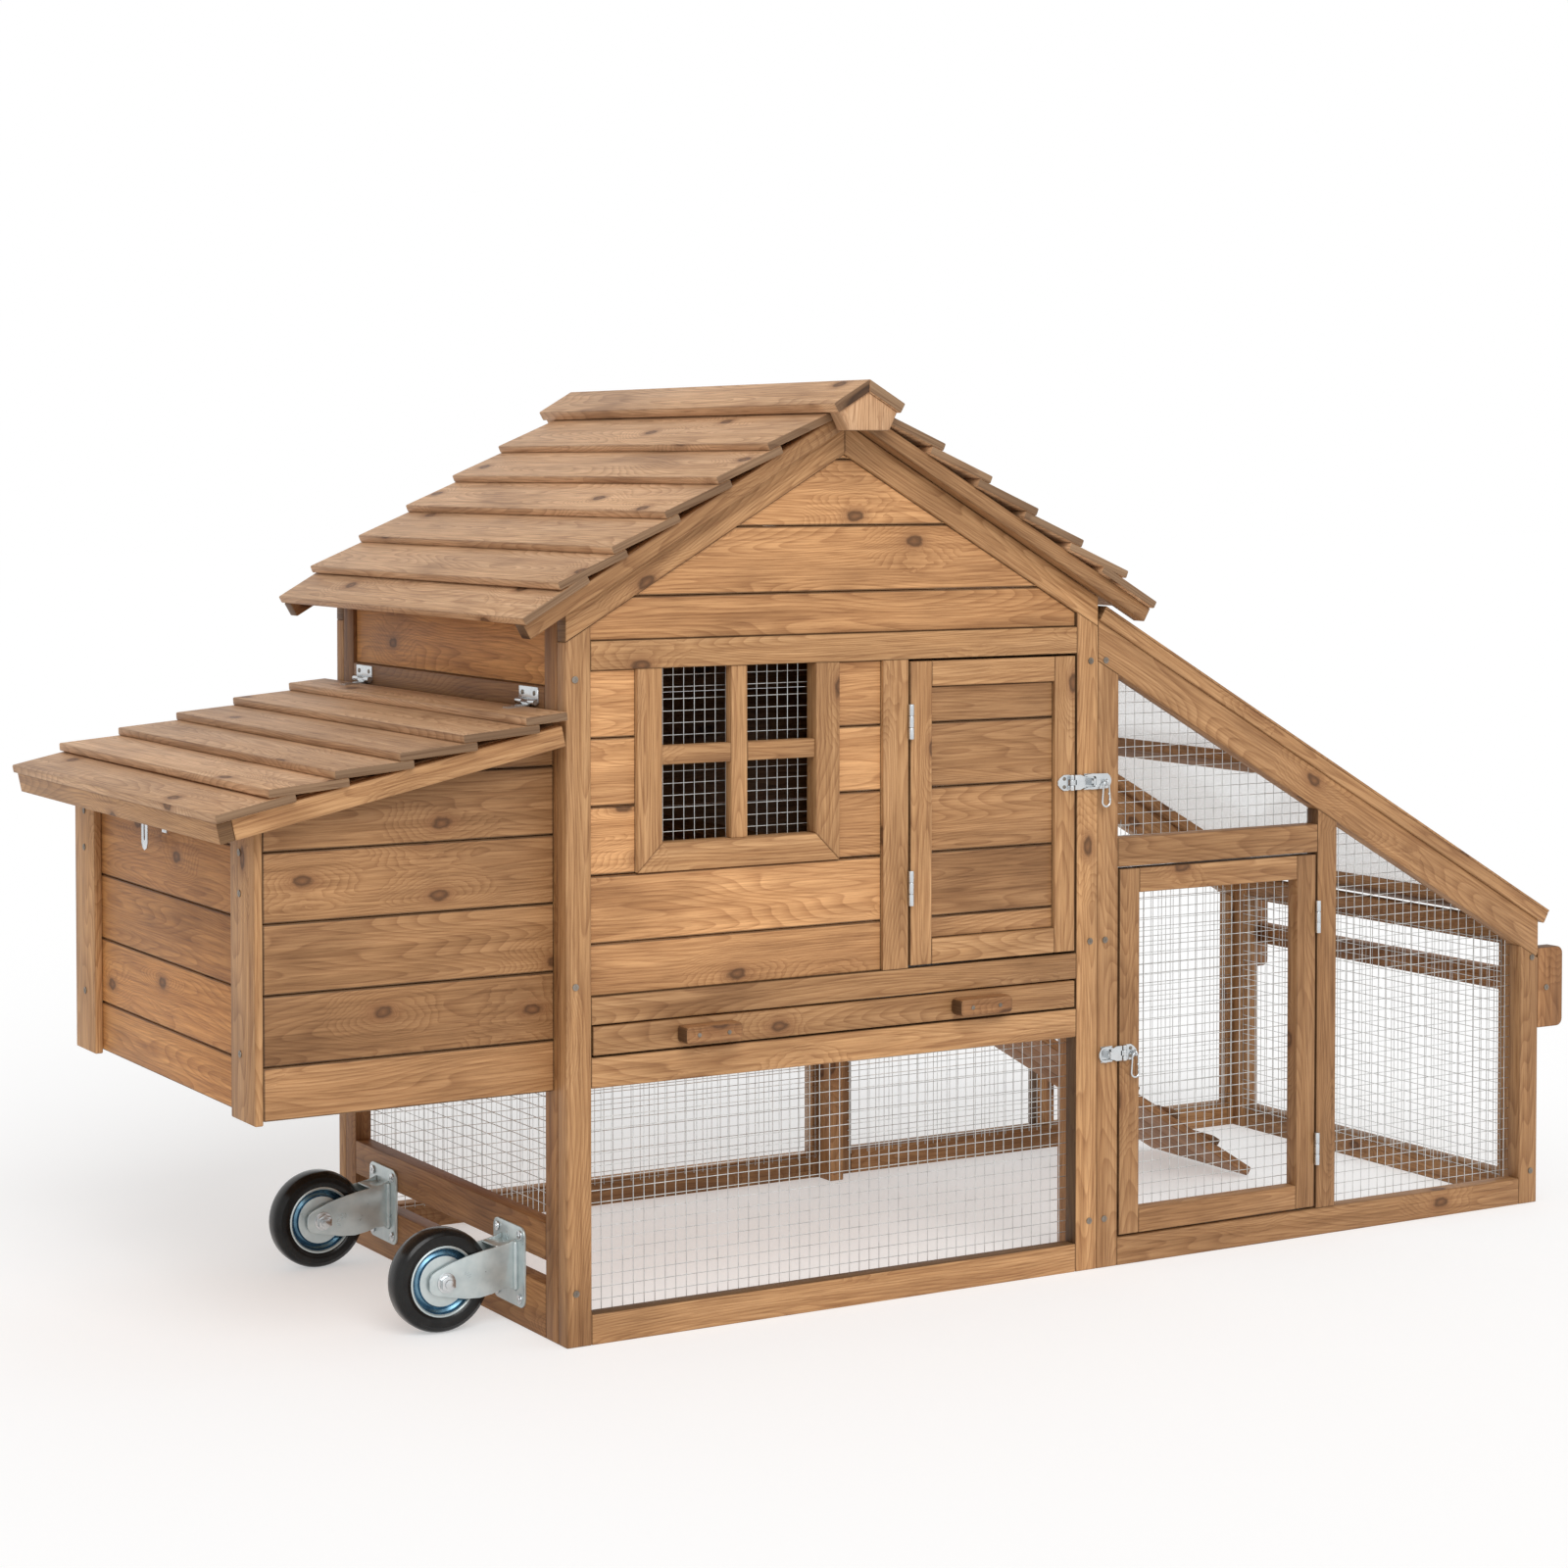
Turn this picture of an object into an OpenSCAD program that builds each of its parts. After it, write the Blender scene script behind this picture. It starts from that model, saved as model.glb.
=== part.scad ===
// Movable hen coop: gabled house, nest box, lean-to wire run, castors and handle.
// Millimetres. X runs along the coop, Y from front to back, Z up from the ground.

/* [House] */
// Width of the house front
house_w = 672; // [600:4:760]
// Depth of the whole frame, front face to back face
depth = 594; // [540:2:700]
// Height of the house corners, where the roof slope starts
eave_h = 763; // [740:1:800]
// Pitch of the house roof
pitch = 30; // [27:1:32]
// Thickness of every framed panel
frame_t = 20; // [18:1:24]
// Width of stiles and posts
stile_w = 29; // [24:1:34]
// Height of the bottom rails
bottom_rail_h = 32; // [26:1:38]
// Height of the rail that carries the tray
floor_rail_h = 32; // [26:1:36]
// Underside of the rail that carries the tray
floor_rail_z = 267; // [250:1:280]
// Height of the slot that the tray slides in
tray_slot_h = 34; // [30:1:38]
// Height of the rail above the tray
sill_h = 29; // [24:1:34]
// Underside of the rail above the window and door
head_z = 700; // [690:1:705]
// Height of the rail above the window and door
head_h = 30; // [26:1:34]
// Thickness of wall boards
board_t = 10; // [8:0.5:12]
// Height of one wall board
board_h = 71; // [64:1:74]
// Depth of the boards behind the frame face
board_inset = 4; // [2:0.5:6]
// Shadow gap between boards
board_gap = 0.6; // [0.4:0.1:1.5]

/* [Window and house door] */
// Left edge of the window frame
window_x = 83; // [70:1:95]
// Width of the window frame
window_w = 247; // [220:1:255]
// Face width of the window frame
window_face = 30; // [24:1:34]
// Face width of the glazing bars
bar_face = 20; // [14:1:24]
// Depth of the glazing bars
bar_depth = 13; // [10:1:15]
// Left edge of the door jamb
jamb_x = 385; // [365:1:395]
// Width of the door jamb
jamb_w = 33; // [28:1:38]
// Clearance round each door
door_gap = 2.5; // [2.5:0.1:3]
// Thickness of each door
door_t = 18; // [16:0.5:18]
// Width of the door stiles and rails
door_stile = 28; // [24:1:32]

/* [Run] */
// Length of the run
run_l = 671; // [640:1:760]
// Height of the run front at its far end
run_end_h = 350; // [348:1:364]
// Width of the sloping rails
slope_rail = 40; // [34:1:46]
// Width of the run doorway
run_door_w = 291; // [260:1:310]
// Least height of the opening over the run door
bay_min = 18; // [12:1:60]
// Height of the rail above the run door
header_h = 33; // [28:1:36]
// Drop of the end panel below the run front's far corner
end_drop = 4; // [3:1:12]
// Drop of the run roof's top edge below the house corners
run_drop = 26; // [24:1:40]
// Thickness of the run roof frame
run_roof_t = 18; // [14:0.5:20]
// Overhang of the run roof at the far end
run_roof_over = 8; // [4:1:20]
// Thickness of the clear roof sheet
sheet_t = 3; // [2:0.5:5]

/* [House roof] */
// Overhang of the roof boards past the house sides
eave_over = 58; // [40:1:60]
// Overhang of the roof boards past the front and back
verge_over = 27; // [24:1:40]
// Thickness of a roof board
shingle_t = 9; // [7:0.5:11]
// Length of a roof board down the slope
shingle_l = 85; // [80:1:95]
// Distance between roof boards down the slope
shingle_step = 71; // [66:1:74]
// Part of the lowest roof board that shows
eave_show = 51; // [40:1:60]
// Depth of the bargeboards, square to the slope
barge_d = 17; // [12:1:20]
// Thickness of the bargeboards
barge_t = 20; // [16:1:22]
// Overhang of the ridge cap past the front and back
ridge_over = 51; // [46:1:70]
// Width of each ridge cap board
cap_w = 52; // [46:1:60]
// Thickness of the ridge cap boards
cap_t = 12; // [9:1:14]

/* [Nest box] */
// Length of the nest box out from the house
nest_l = 329; // [300:1:340]
// Distance of the nest box sides from the house face
nest_inset = 28; // [24:1:40]
// Underside of the nest box
nest_z = 263; // [255:1:270]
// Thickness of the nest box boards
nest_board = 12; // [10:0.5:14]
// Width of the corner posts
post_w = 64; // [50:1:70]
// Thickness of the corner posts
post_t = 9; // [8:0.5:12]
// Height of the board between the two nests
divider_h = 190; // [120:1:240]
// Pitch of the lid
lid_pitch = 12; // [11:0.5:13]
// Length of the lid along its slope
lid_l = 392; // [386:1:398]
// Overhang of the lid past the nest box sides
lid_over = 46; // [40:1:55]
// Height of the lid surface at the house wall
lid_top = 660; // [656:1:664]
// Thickness of the lid boards
lid_board = 9; // [7:0.5:11]
// Distance between lid boards down the slope
lid_step = 71; // [68:1:74]
// Part of the lowest lid board that shows
lid_show = 57; // [50:1:64]
// Depth of the battens under the lid
lid_batten = 22; // [18:1:26]

/* [Tray and ramp] */
// Room left between the tray and the back panel
tray_room = 16; // [10:1:60]
// Wall thickness of the tray
tray_wall = 8; // [6:0.5:10]
// Distance of the finger blocks' middles from the tray's ends
block_in = 135; // [100:1:180]
// Length of a finger block on the tray
block_l = 69; // [50:1:90]
// Height of a finger block
block_h = 19; // [15:1:22]
// Depth of a finger block
block_d = 17; // [14:1:20]
// Width of the ramp
ramp_w = 204; // [160:1:230]
// Distance of the ramp from the house face
ramp_y = 293; // [250:1:300]
// Thickness of the ramp board
ramp_t = 12; // [10:0.5:14]
// Reach of the ramp into the run
ramp_reach = 448; // [400:1:480]
// Radius of the ramp pivot rod
rod_r = 3; // [2.5:0.25:3.5]
// Height of the pop hole
pop_h = 260; // [220:1:300]
// Diameter of the perch
perch_d = 26; // [20:1:34]

/* [Wheels and handle] */
// Diameter of the wheels
wheel_d = 110; // [100:1:114]
// Width of the tyres
wheel_w = 30; // [24:1:34]
// Diameter of the wheel hubs
hub_d = 76; // [64:1:80]
// Diameter of the axle bolts
axle_d = 10; // [8:1:12]
// Distance of the axles from the end of the house
axle_out = 84; // [80:1:95]
// Distance of the wheel centres from the house face
castor_y = 132; // [115:1:160]
// Width of the castor plates
plate_w = 75; // [70:1:85]
// Height of the castor plates
plate_h = 86; // [80:1:90]
// Thickness of the castor steel
steel_t = 2.5; // [2:0.25:3]
// Reach of the handle past the end of the run
handle_out = 41; // [36:1:60]
// Height of the handle cheeks
cheek_h = 105; // [80:1:120]
// Drop of the handle's middle below the run front's far corner
handle_drop = 84; // [70:1:110]
// Height of the handle bar
grip_h = 27; // [22:1:32]
// Thickness of the handle bar
grip_t = 22; // [18:1:24]

/* [Wire and ironmongery] */
// Thickness of the wire nets
wire_t = 2; // [1.5:0.25:2.5]
// Pitch of the wire nets
net_pitch = 52; // [50:1:80]
// Lap of the wire nets behind the frames
net_lap = 8; // [6:0.5:9]
// Radius of the hinge knuckles
knuckle_r = 3; // [2.75:0.05:3.2]
// Radius of the hinge pins
pin_r = 1.5; // [1.25:0.05:1.6]
// Running clearance of pins and axles
run_fit = 0.05; // [0.03:0.01:0.08]
// Height of the hinges
hinge_h = 38; // [30:1:44]
// Thickness of thin plates
plate_t = 1.5; // [1:0.25:1.75]
// Height of the hasps
hasp_h = 20; // [16:1:24]
// Wire radius of the snap hooks
hook_r = 1.2; // [1:0.1:1.4]
// Radius of the screw heads
screw_r = 3.6; // [3:0.1:4.5]

/* [Hidden] */
$fn = 48;
wood = "#a5753f";
dark_wood = "#8a5f33";
zinc = "silver";

// House lines
apex_h = eave_h + house_w / 2 * tan(pitch);
inner_r = house_w - stile_w;
floor_z = floor_rail_z + floor_rail_h;
sill_z = floor_z + tray_slot_h;
sill_top = sill_z + sill_h;
head_top = head_z + head_h;
window_z = head_z - 3 * board_h;
window_r = window_x + window_w;
door_l = jamb_x + jamb_w;
back_y = depth - frame_t;
tray_d = back_y - door_t - tray_room;
slope_cut = stile_w / cos(pitch);

// Run lines
run_x = house_w;
run_r = run_x + run_l;
run_top = eave_h - run_drop;
run_pitch = atan2(run_top - run_end_h, run_l);
slope_drop = slope_rail / cos(run_pitch);
post_r = run_x + stile_w;
mid_l = post_r + run_door_w;
mid_r = mid_l + stile_w;
header_top = slope_at(mid_l) - slope_drop - bay_min;
run_door_top = header_top - header_h;
end_h = run_end_h - end_drop;
handle_z = run_end_h - handle_drop;
end_l = run_r - stile_w;
end_x = run_r - frame_t;
partition_x = house_w - frame_t;
roof_len = run_l / cos(run_pitch);

// Nest box and lid lines
nest_back = depth - nest_inset;
lid_front = nest_inset - lid_over;
lid_back = depth - lid_front;
lid_axis_x = -knuckle_r - 1;
lid_axis_z = lid_top + knuckle_r + plate_t;
lid_clear = 2;
lid_lap = 14;
lid_rows = floor((lid_l - lid_show) / lid_step);
lid_rise = lid_board * (lid_step + lid_lap) / lid_step;
lid_tail = lid_l - lid_show - lid_rows * lid_step;
lid_head_h = lid_board + lid_rise - lid_tail * lid_board / lid_step;
lid_tilt = lid_pitch - atan(lid_board / lid_step);
left_rail_z = 2 * bottom_rail_h + 18;
left_rail_h = 39;
left_low_h = 57;

// Tray, ramp and pop hole lines
tray_gap = 2;
runner_w = 25;
runner_h = 14;
pop_y = ramp_y - 3;
pop_w = ramp_w + 6;
rod_x = house_w + ramp_t / 2 + 2;
rod_z = floor_z - ramp_t;
foot_lift = 0.6;
ramp_angle = atan2(rod_z - ramp_t / 2 - foot_lift, ramp_reach);
ramp_len = ramp_reach / cos(ramp_angle);

// Wheel and handle lines
wheel_lift = 0.5;
axle_z = wheel_d / 2 + wheel_lift;
wheel_side = 1.5;
fork_in = wheel_w / 2 + wheel_side;
plate_z = axle_z + 8 - plate_h / 2;
grip_x = run_r + 7;
castor_ys = [castor_y, depth - castor_y];

// Ironmongery lines
leaf_t = 0.8;
play = 0.3;
axis_out = knuckle_r + 0.2;
house_axis_x = door_l + door_gap / 2;
run_axis_x = mid_l - door_gap / 2;
hinge_in = 72;
house_hinge_zs = [sill_top + hinge_in + 16, head_z - hinge_in + 4];
run_hinge_zs = [bottom_rail_h + hinge_in, run_door_top - hinge_in - 4];
lid_hinge_ys = [depth * 0.14, depth * 0.86];
lid_hinge_w = 44;
lid_leaf = 24;
hasp_axis_y = -knuckle_r;
house_hasp_x = inner_r - 9;
house_hasp_z = (sill_top + head_z) / 2 + 24;
run_hasp_x = post_r + door_gap + 5;
run_hasp_z = (bottom_rail_h + run_door_top) / 2;
base_reach = 20;
staple_off = 26;
run_staple_off = 24;
leaf_reach = 54;
run_leaf_reach = 36;
slot_in = 19;
slot_out = 33;
staple_out = 11;
lug_out = 9;
lug_eye = 3.2;
lug_in = 10;
run_lug_in = 13;
hook_w = 13;
hook_drop = 30;
lid_hasp_y = depth / 2 + 20;
lid_hasp_in = lid_l - 46;

// Whole object
lid_left = lid_axis_x - lid_l * cos(lid_pitch) + (lid_head_h - lid_board) * sin(lid_pitch);
mid_x = (lid_left + run_r + handle_out) / 2;
mid_y = depth / 2;

module placed() {
    translate([-mid_x, -mid_y, 0]) children();
}
module block(lo, hi) {
    translate(lo) cube(hi - lo);
}
// A flat shape drawn in X and Z, with its front face at y and thickness t
module upright(y, t) {
    translate([0, y + t, 0]) rotate([90, 0, 0]) linear_extrude(t) children();
}
// A flat shape drawn in Y and Z, with its left face at x and thickness t
module crosswise(x, t) {
    translate([x, 0, 0]) rotate([90, 0, 90]) linear_extrude(t) children();
}
module mirrored_back() {
    translate([0, depth, 0]) mirror([0, 1, 0]) children();
}
module rect(x0, z0, x1, z1) {
    translate([x0, z0]) square([x1 - x0, z1 - z0]);
}
// A plate with square openings, cut to the shape of its children
module net(lo, hi) {
    cols = max(1, round((hi[0] - lo[0]) / net_pitch));
    rows = max(1, round((hi[1] - lo[1]) / net_pitch));
    gap_w = (hi[0] - lo[0] - wire_t) / cols;
    gap_h = (hi[1] - lo[1] - wire_t) / rows;
    difference() {
        rect(lo[0], lo[1], hi[0], hi[1]);
        for (i = [0:cols - 1], j = [0:rows - 1])
            translate([lo[0] + wire_t + i * gap_w, lo[1] + wire_t + j * gap_h])
                square([gap_w - wire_t, gap_h - wire_t]);
    }
}
// Rows of boards across a wall between two heights
module board_rows(x0, x1, z0, z1, top) {
    first = floor((top - z1) / board_h);
    last = ceil((top - z0) / board_h) - 1;
    for (k = [first:last]) {
        hi = min(z1, top - k * board_h);
        lo = max(z0, top - (k + 1) * board_h + board_gap);
        if (hi - lo > 2) rect(x0, lo, x1, hi);
    }
}
module house_outline() {
    polygon([[0, 0], [house_w, 0], [house_w, eave_h], [house_w / 2, apex_h], [0, eave_h]]);
}
module gable_inside() {
    lo = head_top;
    edge = eave_h - slope_cut + stile_w * tan(pitch);
    polygon([[stile_w, lo], [inner_r, lo], [inner_r, edge], [house_w / 2, apex_h - slope_cut],
        [stile_w, edge]]);
}
// Stiles, rails and sloping gable rails; holes is everything left open between them
module house_panel_2d() {
    difference() {
        house_outline();
        rect(stile_w, bottom_rail_h, inner_r, floor_rail_z);
        gable_inside();
        children();
    }
}
module house_front_frame() {
    color(wood) placed() upright(0, frame_t) house_panel_2d() {
        union() {
            rect(stile_w, floor_z, inner_r, sill_z);
            rect(stile_w, sill_top, jamb_x, head_z);
            rect(door_l, sill_top, inner_r, head_z);
        }
    }
}
module gable_boards(y) {
    rows = ceil((apex_h - head_top) / board_h);
    first = board_h - 26;
    for (k = [0:rows]) {
        lo = k == 0 ? head_top : head_top + first + (k - 1) * board_h;
        hi = head_top + first + k * board_h - board_gap;
        if (lo < apex_h - slope_cut - 6)
            intersection() {
                upright(y, board_t) gable_inside();
                block([0, y, lo], [house_w, y + board_t, hi]);
            }
    }
}
module house_front_boards() {
    color(wood) placed() {
        upright(board_inset, board_t) {
            board_rows(stile_w, jamb_x, sill_top, window_z - board_gap, head_z);
            board_rows(stile_w, window_x, window_z, head_z, head_z);
            board_rows(window_r, jamb_x, window_z, head_z, head_z);
        }
        gable_boards(board_inset);
    }
}
// Mitred on its lower corners, with a cross of glazing bars set back a little
module window_frame() {
    in_l = window_x + window_face;
    in_r = window_r - window_face;
    in_z = window_z + window_face;
    mid = (in_l + in_r) / 2;
    bar_z = (in_z + head_z) / 2;
    mitre = 0.25;
    color(wood) placed() {
        upright(0, frame_t) {
            polygon([[window_x, window_z + mitre], [in_l, in_z + mitre], [in_l, head_z],
                [window_x, head_z]]);
            polygon([[window_r, window_z + mitre], [in_r, in_z + mitre], [in_r, head_z],
                [window_r, head_z]]);
            polygon([[window_x, window_z], [window_r, window_z], [in_r, in_z], [in_l, in_z]]);
        }
        upright(2, bar_depth) {
            rect(mid - bar_face / 2, in_z, mid + bar_face / 2, head_z);
            rect(in_l, bar_z - bar_face / 2, mid - bar_face / 2, bar_z + bar_face / 2);
            rect(mid + bar_face / 2, bar_z - bar_face / 2, in_r, bar_z + bar_face / 2);
        }
    }
}
module base_net() {
    upright(frame_t, wire_t) net([stile_w - net_lap, bottom_rail_h - net_lap],
        [inner_r + net_lap, floor_rail_z + net_lap]);
}
module house_front_nets() {
    color(zinc) placed() {
        base_net();
        upright(frame_t, wire_t) net([window_x + window_face - net_lap, window_z + window_face - net_lap],
            [window_r - window_face + net_lap, head_z + net_lap]);
    }
}
module house_back_frame() {
    color(wood) placed() mirrored_back() upright(0, frame_t) house_panel_2d() {
        union() {
            rect(stile_w, sill_top, jamb_x, head_z);
            rect(door_l, sill_top, inner_r, head_z);
        }
    }
}
module house_back_boards() {
    color(wood) placed() mirrored_back() {
        upright(board_inset, board_t) {
            board_rows(stile_w, jamb_x, sill_top, head_z, head_z);
            board_rows(door_l, inner_r, sill_top, head_z, head_z);
        }
        gable_boards(board_inset);
    }
}
module house_back_net() {
    color(zinc) placed() mirrored_back() base_net();
}
// The left end fits between the front and back panels
module left_end_frame() {
    in_f = frame_t + stile_w;
    in_b = back_y - stile_w;
    lid_rail_z = lid_axis_z - 12;
    color(wood) placed() crosswise(0, frame_t) difference() {
        rect(frame_t, 0, back_y, eave_h - 2);
        rect(in_f, left_low_h, in_b, left_rail_z);
        rect(in_f, left_rail_z + left_rail_h, in_b, floor_rail_z);
        rect(in_f, floor_z, in_b, lid_rail_z);
        rect(in_f, lid_rail_z + stile_w, in_b, eave_h - 2 - stile_w / 2);
    }
}
module left_end_boards() {
    lid_rail_top = lid_axis_z - 12 + stile_w;
    top = eave_h - 2 - stile_w / 2;
    color(wood) placed() crosswise(board_inset, board_t)
        board_rows(frame_t + stile_w, back_y - stile_w, lid_rail_top, top, top);
}
module left_end_net() {
    color(zinc) placed() crosswise(frame_t, wire_t) net(
        [frame_t + stile_w - net_lap, left_rail_z + left_rail_h - net_lap],
        [back_y - stile_w + net_lap, floor_rail_z + net_lap]);
}
// Posts to the ground, but open below the floor so hens can walk under the house
module partition_frame() {
    in_f = frame_t + stile_w;
    in_b = back_y - stile_w;
    color(wood) placed() crosswise(partition_x, frame_t) difference() {
        rect(frame_t, 0, back_y, eave_h - 2);
        rect(in_f, -1, in_b, floor_rail_z);
        rect(in_f, floor_z, in_b, eave_h - 2 - stile_w);
    }
}
module partition_boards() {
    top = eave_h - 2 - stile_w;
    in_f = frame_t + stile_w;
    in_b = back_y - stile_w;
    color(wood) placed() crosswise(partition_x + board_inset, board_t) {
        board_rows(in_f, pop_y, floor_z, floor_z + pop_h - board_gap, top);
        board_rows(pop_y + pop_w, in_b, floor_z, floor_z + pop_h - board_gap, top);
        board_rows(in_f, in_b, floor_z + pop_h, top, top);
    }
}
function slope_at(x) = run_end_h + (run_r - x) * tan(run_pitch);
module run_outline() {
    polygon([[run_x, 0], [run_r, 0], [run_r, run_end_h], [run_x, run_top]]);
}
module run_bay(x0, x1, z0) {
    polygon([[x0, z0], [x1, z0], [x1, slope_at(x1) - slope_drop], [x0, slope_at(x0) - slope_drop]]);
}
module run_front_frame() {
    color(wood) placed() upright(0, frame_t) difference() {
        run_outline();
        rect(post_r, bottom_rail_h, mid_l, run_door_top);
        run_bay(post_r, mid_l, header_top);
        run_bay(mid_r, end_l, bottom_rail_h);
    }
}
// The same bay, widened to lap behind the frame
module lap_bay(x0, x1, z0) {
    polygon([[x0 - net_lap, z0 - net_lap], [x1 + net_lap, z0 - net_lap],
        [x1 + net_lap, slope_at(x1 + net_lap) - slope_drop + net_lap],
        [x0 - net_lap, slope_at(x0 - net_lap) - slope_drop + net_lap]]);
}
// A net with an edge wire all round a sloping bay
module bay_net(x0, x1, z0) {
    edge = wire_t * 2;
    lo = [x0 - net_lap, z0 - net_lap];
    hi = [x1 + net_lap, slope_at(x0 - net_lap)];
    intersection() {
        lap_bay(x0, x1, z0);
        union() {
            net(lo, hi);
            difference() {
                rect(lo[0], lo[1], hi[0], hi[1]);
                translate([0, -edge]) lap_bay(x0, x1, z0);
            }
        }
    }
}
module run_front_nets() {
    color(zinc) placed() upright(frame_t, wire_t) {
        bay_net(post_r, mid_l, header_top);
        bay_net(mid_r, end_l, bottom_rail_h);
    }
}
module run_back_frame() {
    color(wood) placed() mirrored_back() upright(0, frame_t) difference() {
        run_outline();
        run_bay(post_r, mid_l, bottom_rail_h);
        run_bay(mid_r, end_l, bottom_rail_h);
    }
}
module run_back_net() {
    color(zinc) placed() mirrored_back() upright(frame_t, wire_t) bay_net(post_r, end_l, bottom_rail_h);
}
module run_end_frame() {
    in_f = frame_t + stile_w;
    in_b = back_y - stile_w;
    color(wood) placed() crosswise(end_x, frame_t) difference() {
        rect(frame_t, 0, back_y, end_h);
        rect(in_f, bottom_rail_h, in_b, end_h - stile_w);
    }
}
module run_end_net() {
    color(zinc) placed() crosswise(end_x - wire_t, wire_t) net(
        [frame_t + stile_w - net_lap, bottom_rail_h - net_lap],
        [back_y - stile_w + net_lap, end_h - stile_w + net_lap]);
}
// Lies on the sloping rails: minus x runs up the slope, z is square to it
module on_run_slope() {
    translate([run_r, 0, run_end_h]) rotate([0, run_pitch, 0]) children();
}
module run_roof_frame() {
    over = 3;
    top_x = -roof_len;
    low_x = run_roof_over;
    rail = stile_w;
    mid = (top_x + low_x) / 2;
    color(wood) placed() on_run_slope() difference() {
        block([top_x, -over, 0], [low_x, depth + over, run_roof_t]);
        for (span = [[top_x + rail, mid - rail / 2], [mid + rail / 2, low_x - rail]])
            block([span[0], rail, -1], [span[1], depth - rail, run_roof_t + 1]);
        block([top_x + rail / 2, rail / 2, run_roof_t - sheet_t],
            [low_x - rail / 2, depth - rail / 2, run_roof_t + 1]);
    }
}
module run_roof_sheet() {
    rail = stile_w;
    color("white", 0.5) placed() on_run_slope()
        block([-roof_len + rail / 2, rail / 2, run_roof_t - sheet_t],
            [run_roof_over - rail / 2, depth - rail / 2, run_roof_t]);
}
// Roof boards lap like tiles; each rests on the head of the one below
roof_base_h = apex_h + barge_d / cos(pitch);
eave_s = (house_w / 2 + eave_over) / cos(pitch);
shingle_rows = floor((eave_s - eave_show - shingle_l) / shingle_step) + 1;
module shingle(s_end, flat) {
    rise = flat ? 0 : shingle_t * shingle_l / shingle_step;
    s0 = s_end - shingle_l;
    polygon([[-s_end, rise], [-s0, 0], [-s0, shingle_t], [-s_end, rise + shingle_t]]);
}
module roof_slope() {
    translate([house_w / 2, 0, roof_base_h]) rotate([0, -pitch, 0])
        translate([0, depth + verge_over, 0]) rotate([90, 0, 0]) {
            linear_extrude(depth + 2 * verge_over) shingle(eave_s, true);
            for (k = [0:shingle_rows - 1])
                linear_extrude(depth + 2 * verge_over)
                    shingle(eave_s - eave_show - k * shingle_step, false);
        }
}
module mirrored_right() {
    translate([house_w, 0, 0]) mirror([1, 0, 0]) children();
}
module roof_left_boards() {
    color(wood) placed() roof_slope();
}
module roof_right_boards() {
    color(wood) placed() mirrored_right() roof_slope();
}
module barge_pair() {
    low_x = -eave_over + barge_d * sin(pitch);
    low_z = apex_h - (house_w / 2 - low_x) * tan(pitch);
    upright(-barge_t, barge_t) polygon([[house_w / 2, apex_h], [house_w / 2, roof_base_h],
        [-eave_over, low_z + barge_d * cos(pitch)], [low_x, low_z]]);
}
module bargeboards() {
    color(wood) placed() {
        barge_pair();
        mirrored_right() barge_pair();
        mirrored_back() {
            barge_pair();
            mirrored_right() barge_pair();
        }
    }
}
// Two cap boards meet over the ridge, on the heads of the top roof boards
top_tail = eave_s - eave_show - (shingle_rows - 1) * shingle_step;
cap_edge = cap_w - cap_t * tan(pitch) - top_tail + shingle_l;
cap_rest = shingle_t + cap_edge * shingle_t / shingle_step + 0.05;
cap_base = roof_base_h + cap_rest / cos(pitch);
module ridge_cap() {
    drop = cap_w * sin(pitch);
    run = cap_w * cos(pitch);
    thick = cap_t / cos(pitch);
    m = house_w / 2;
    color(wood) placed() {
        upright(-ridge_over, depth + 2 * ridge_over) {
            polygon([[m, cap_base], [m, cap_base + thick], [m - run, cap_base + thick - drop],
                [m - run + cap_t * sin(pitch), cap_base - drop + cap_t * sin(pitch) * tan(pitch)]]);
            polygon([[m, cap_base], [m, cap_base + thick], [m + run, cap_base + thick - drop],
                [m + run - cap_t * sin(pitch), cap_base - drop + cap_t * sin(pitch) * tan(pitch)]]);
        }
        ridge_block(-ridge_over + 3, -verge_over);
        ridge_block(depth + verge_over, depth + ridge_over - 3);
    }
}
module ridge_block(y0, y1) {
    m = house_w / 2;
    half = cap_w * 0.7;
    shoulder = cap_base - half * tan(pitch);
    upright(y0, y1 - y0) polygon([[m, cap_base], [m - half, shoulder], [m - half * 0.72, shoulder - 20],
        [m + half * 0.72, shoulder - 20], [m + half, shoulder]]);
}
// Height of the underside of the lid boards above x
function lid_under(x) = lid_top + (x - lid_axis_x) * tan(lid_pitch) - lid_head_h / cos(lid_pitch);
module nest_side() {
    edge = -nest_l + post_t;
    rows = ceil((lid_top - nest_z) / board_h);
    low = board_h - 17;
    for (k = [0:rows]) {
        lo = k == 0 ? nest_z : nest_z + low + (k - 1) * board_h;
        hi = nest_z + low + k * board_h - board_gap;
        if (lo < lid_under(0) - 12)
            intersection() {
                upright(nest_inset, nest_board) polygon([[edge, nest_z], [0, nest_z],
                    [0, lid_under(0) - lid_clear], [edge, lid_under(edge) - lid_clear]]);
                block([edge, nest_inset, lo], [0, nest_inset + nest_board, hi]);
            }
    }
}
module nest_side_boards() {
    color(wood) placed() {
        nest_side();
        mirrored_back() nest_side();
    }
}
module nest_end_boards() {
    edge = -nest_l + post_t;
    top = lid_under(edge) - lid_clear - 1;
    low = board_h - 17;
    rows = ceil((top - nest_z) / board_h);
    color(wood) placed() crosswise(edge, nest_board) for (k = [0:rows]) {
        lo = k == 0 ? nest_z : nest_z + low + (k - 1) * board_h;
        hi = min(top, nest_z + low + k * board_h - board_gap);
        if (hi > lo + 2) rect(nest_inset + nest_board, lo, nest_back - nest_board, hi);
    }
}
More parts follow.
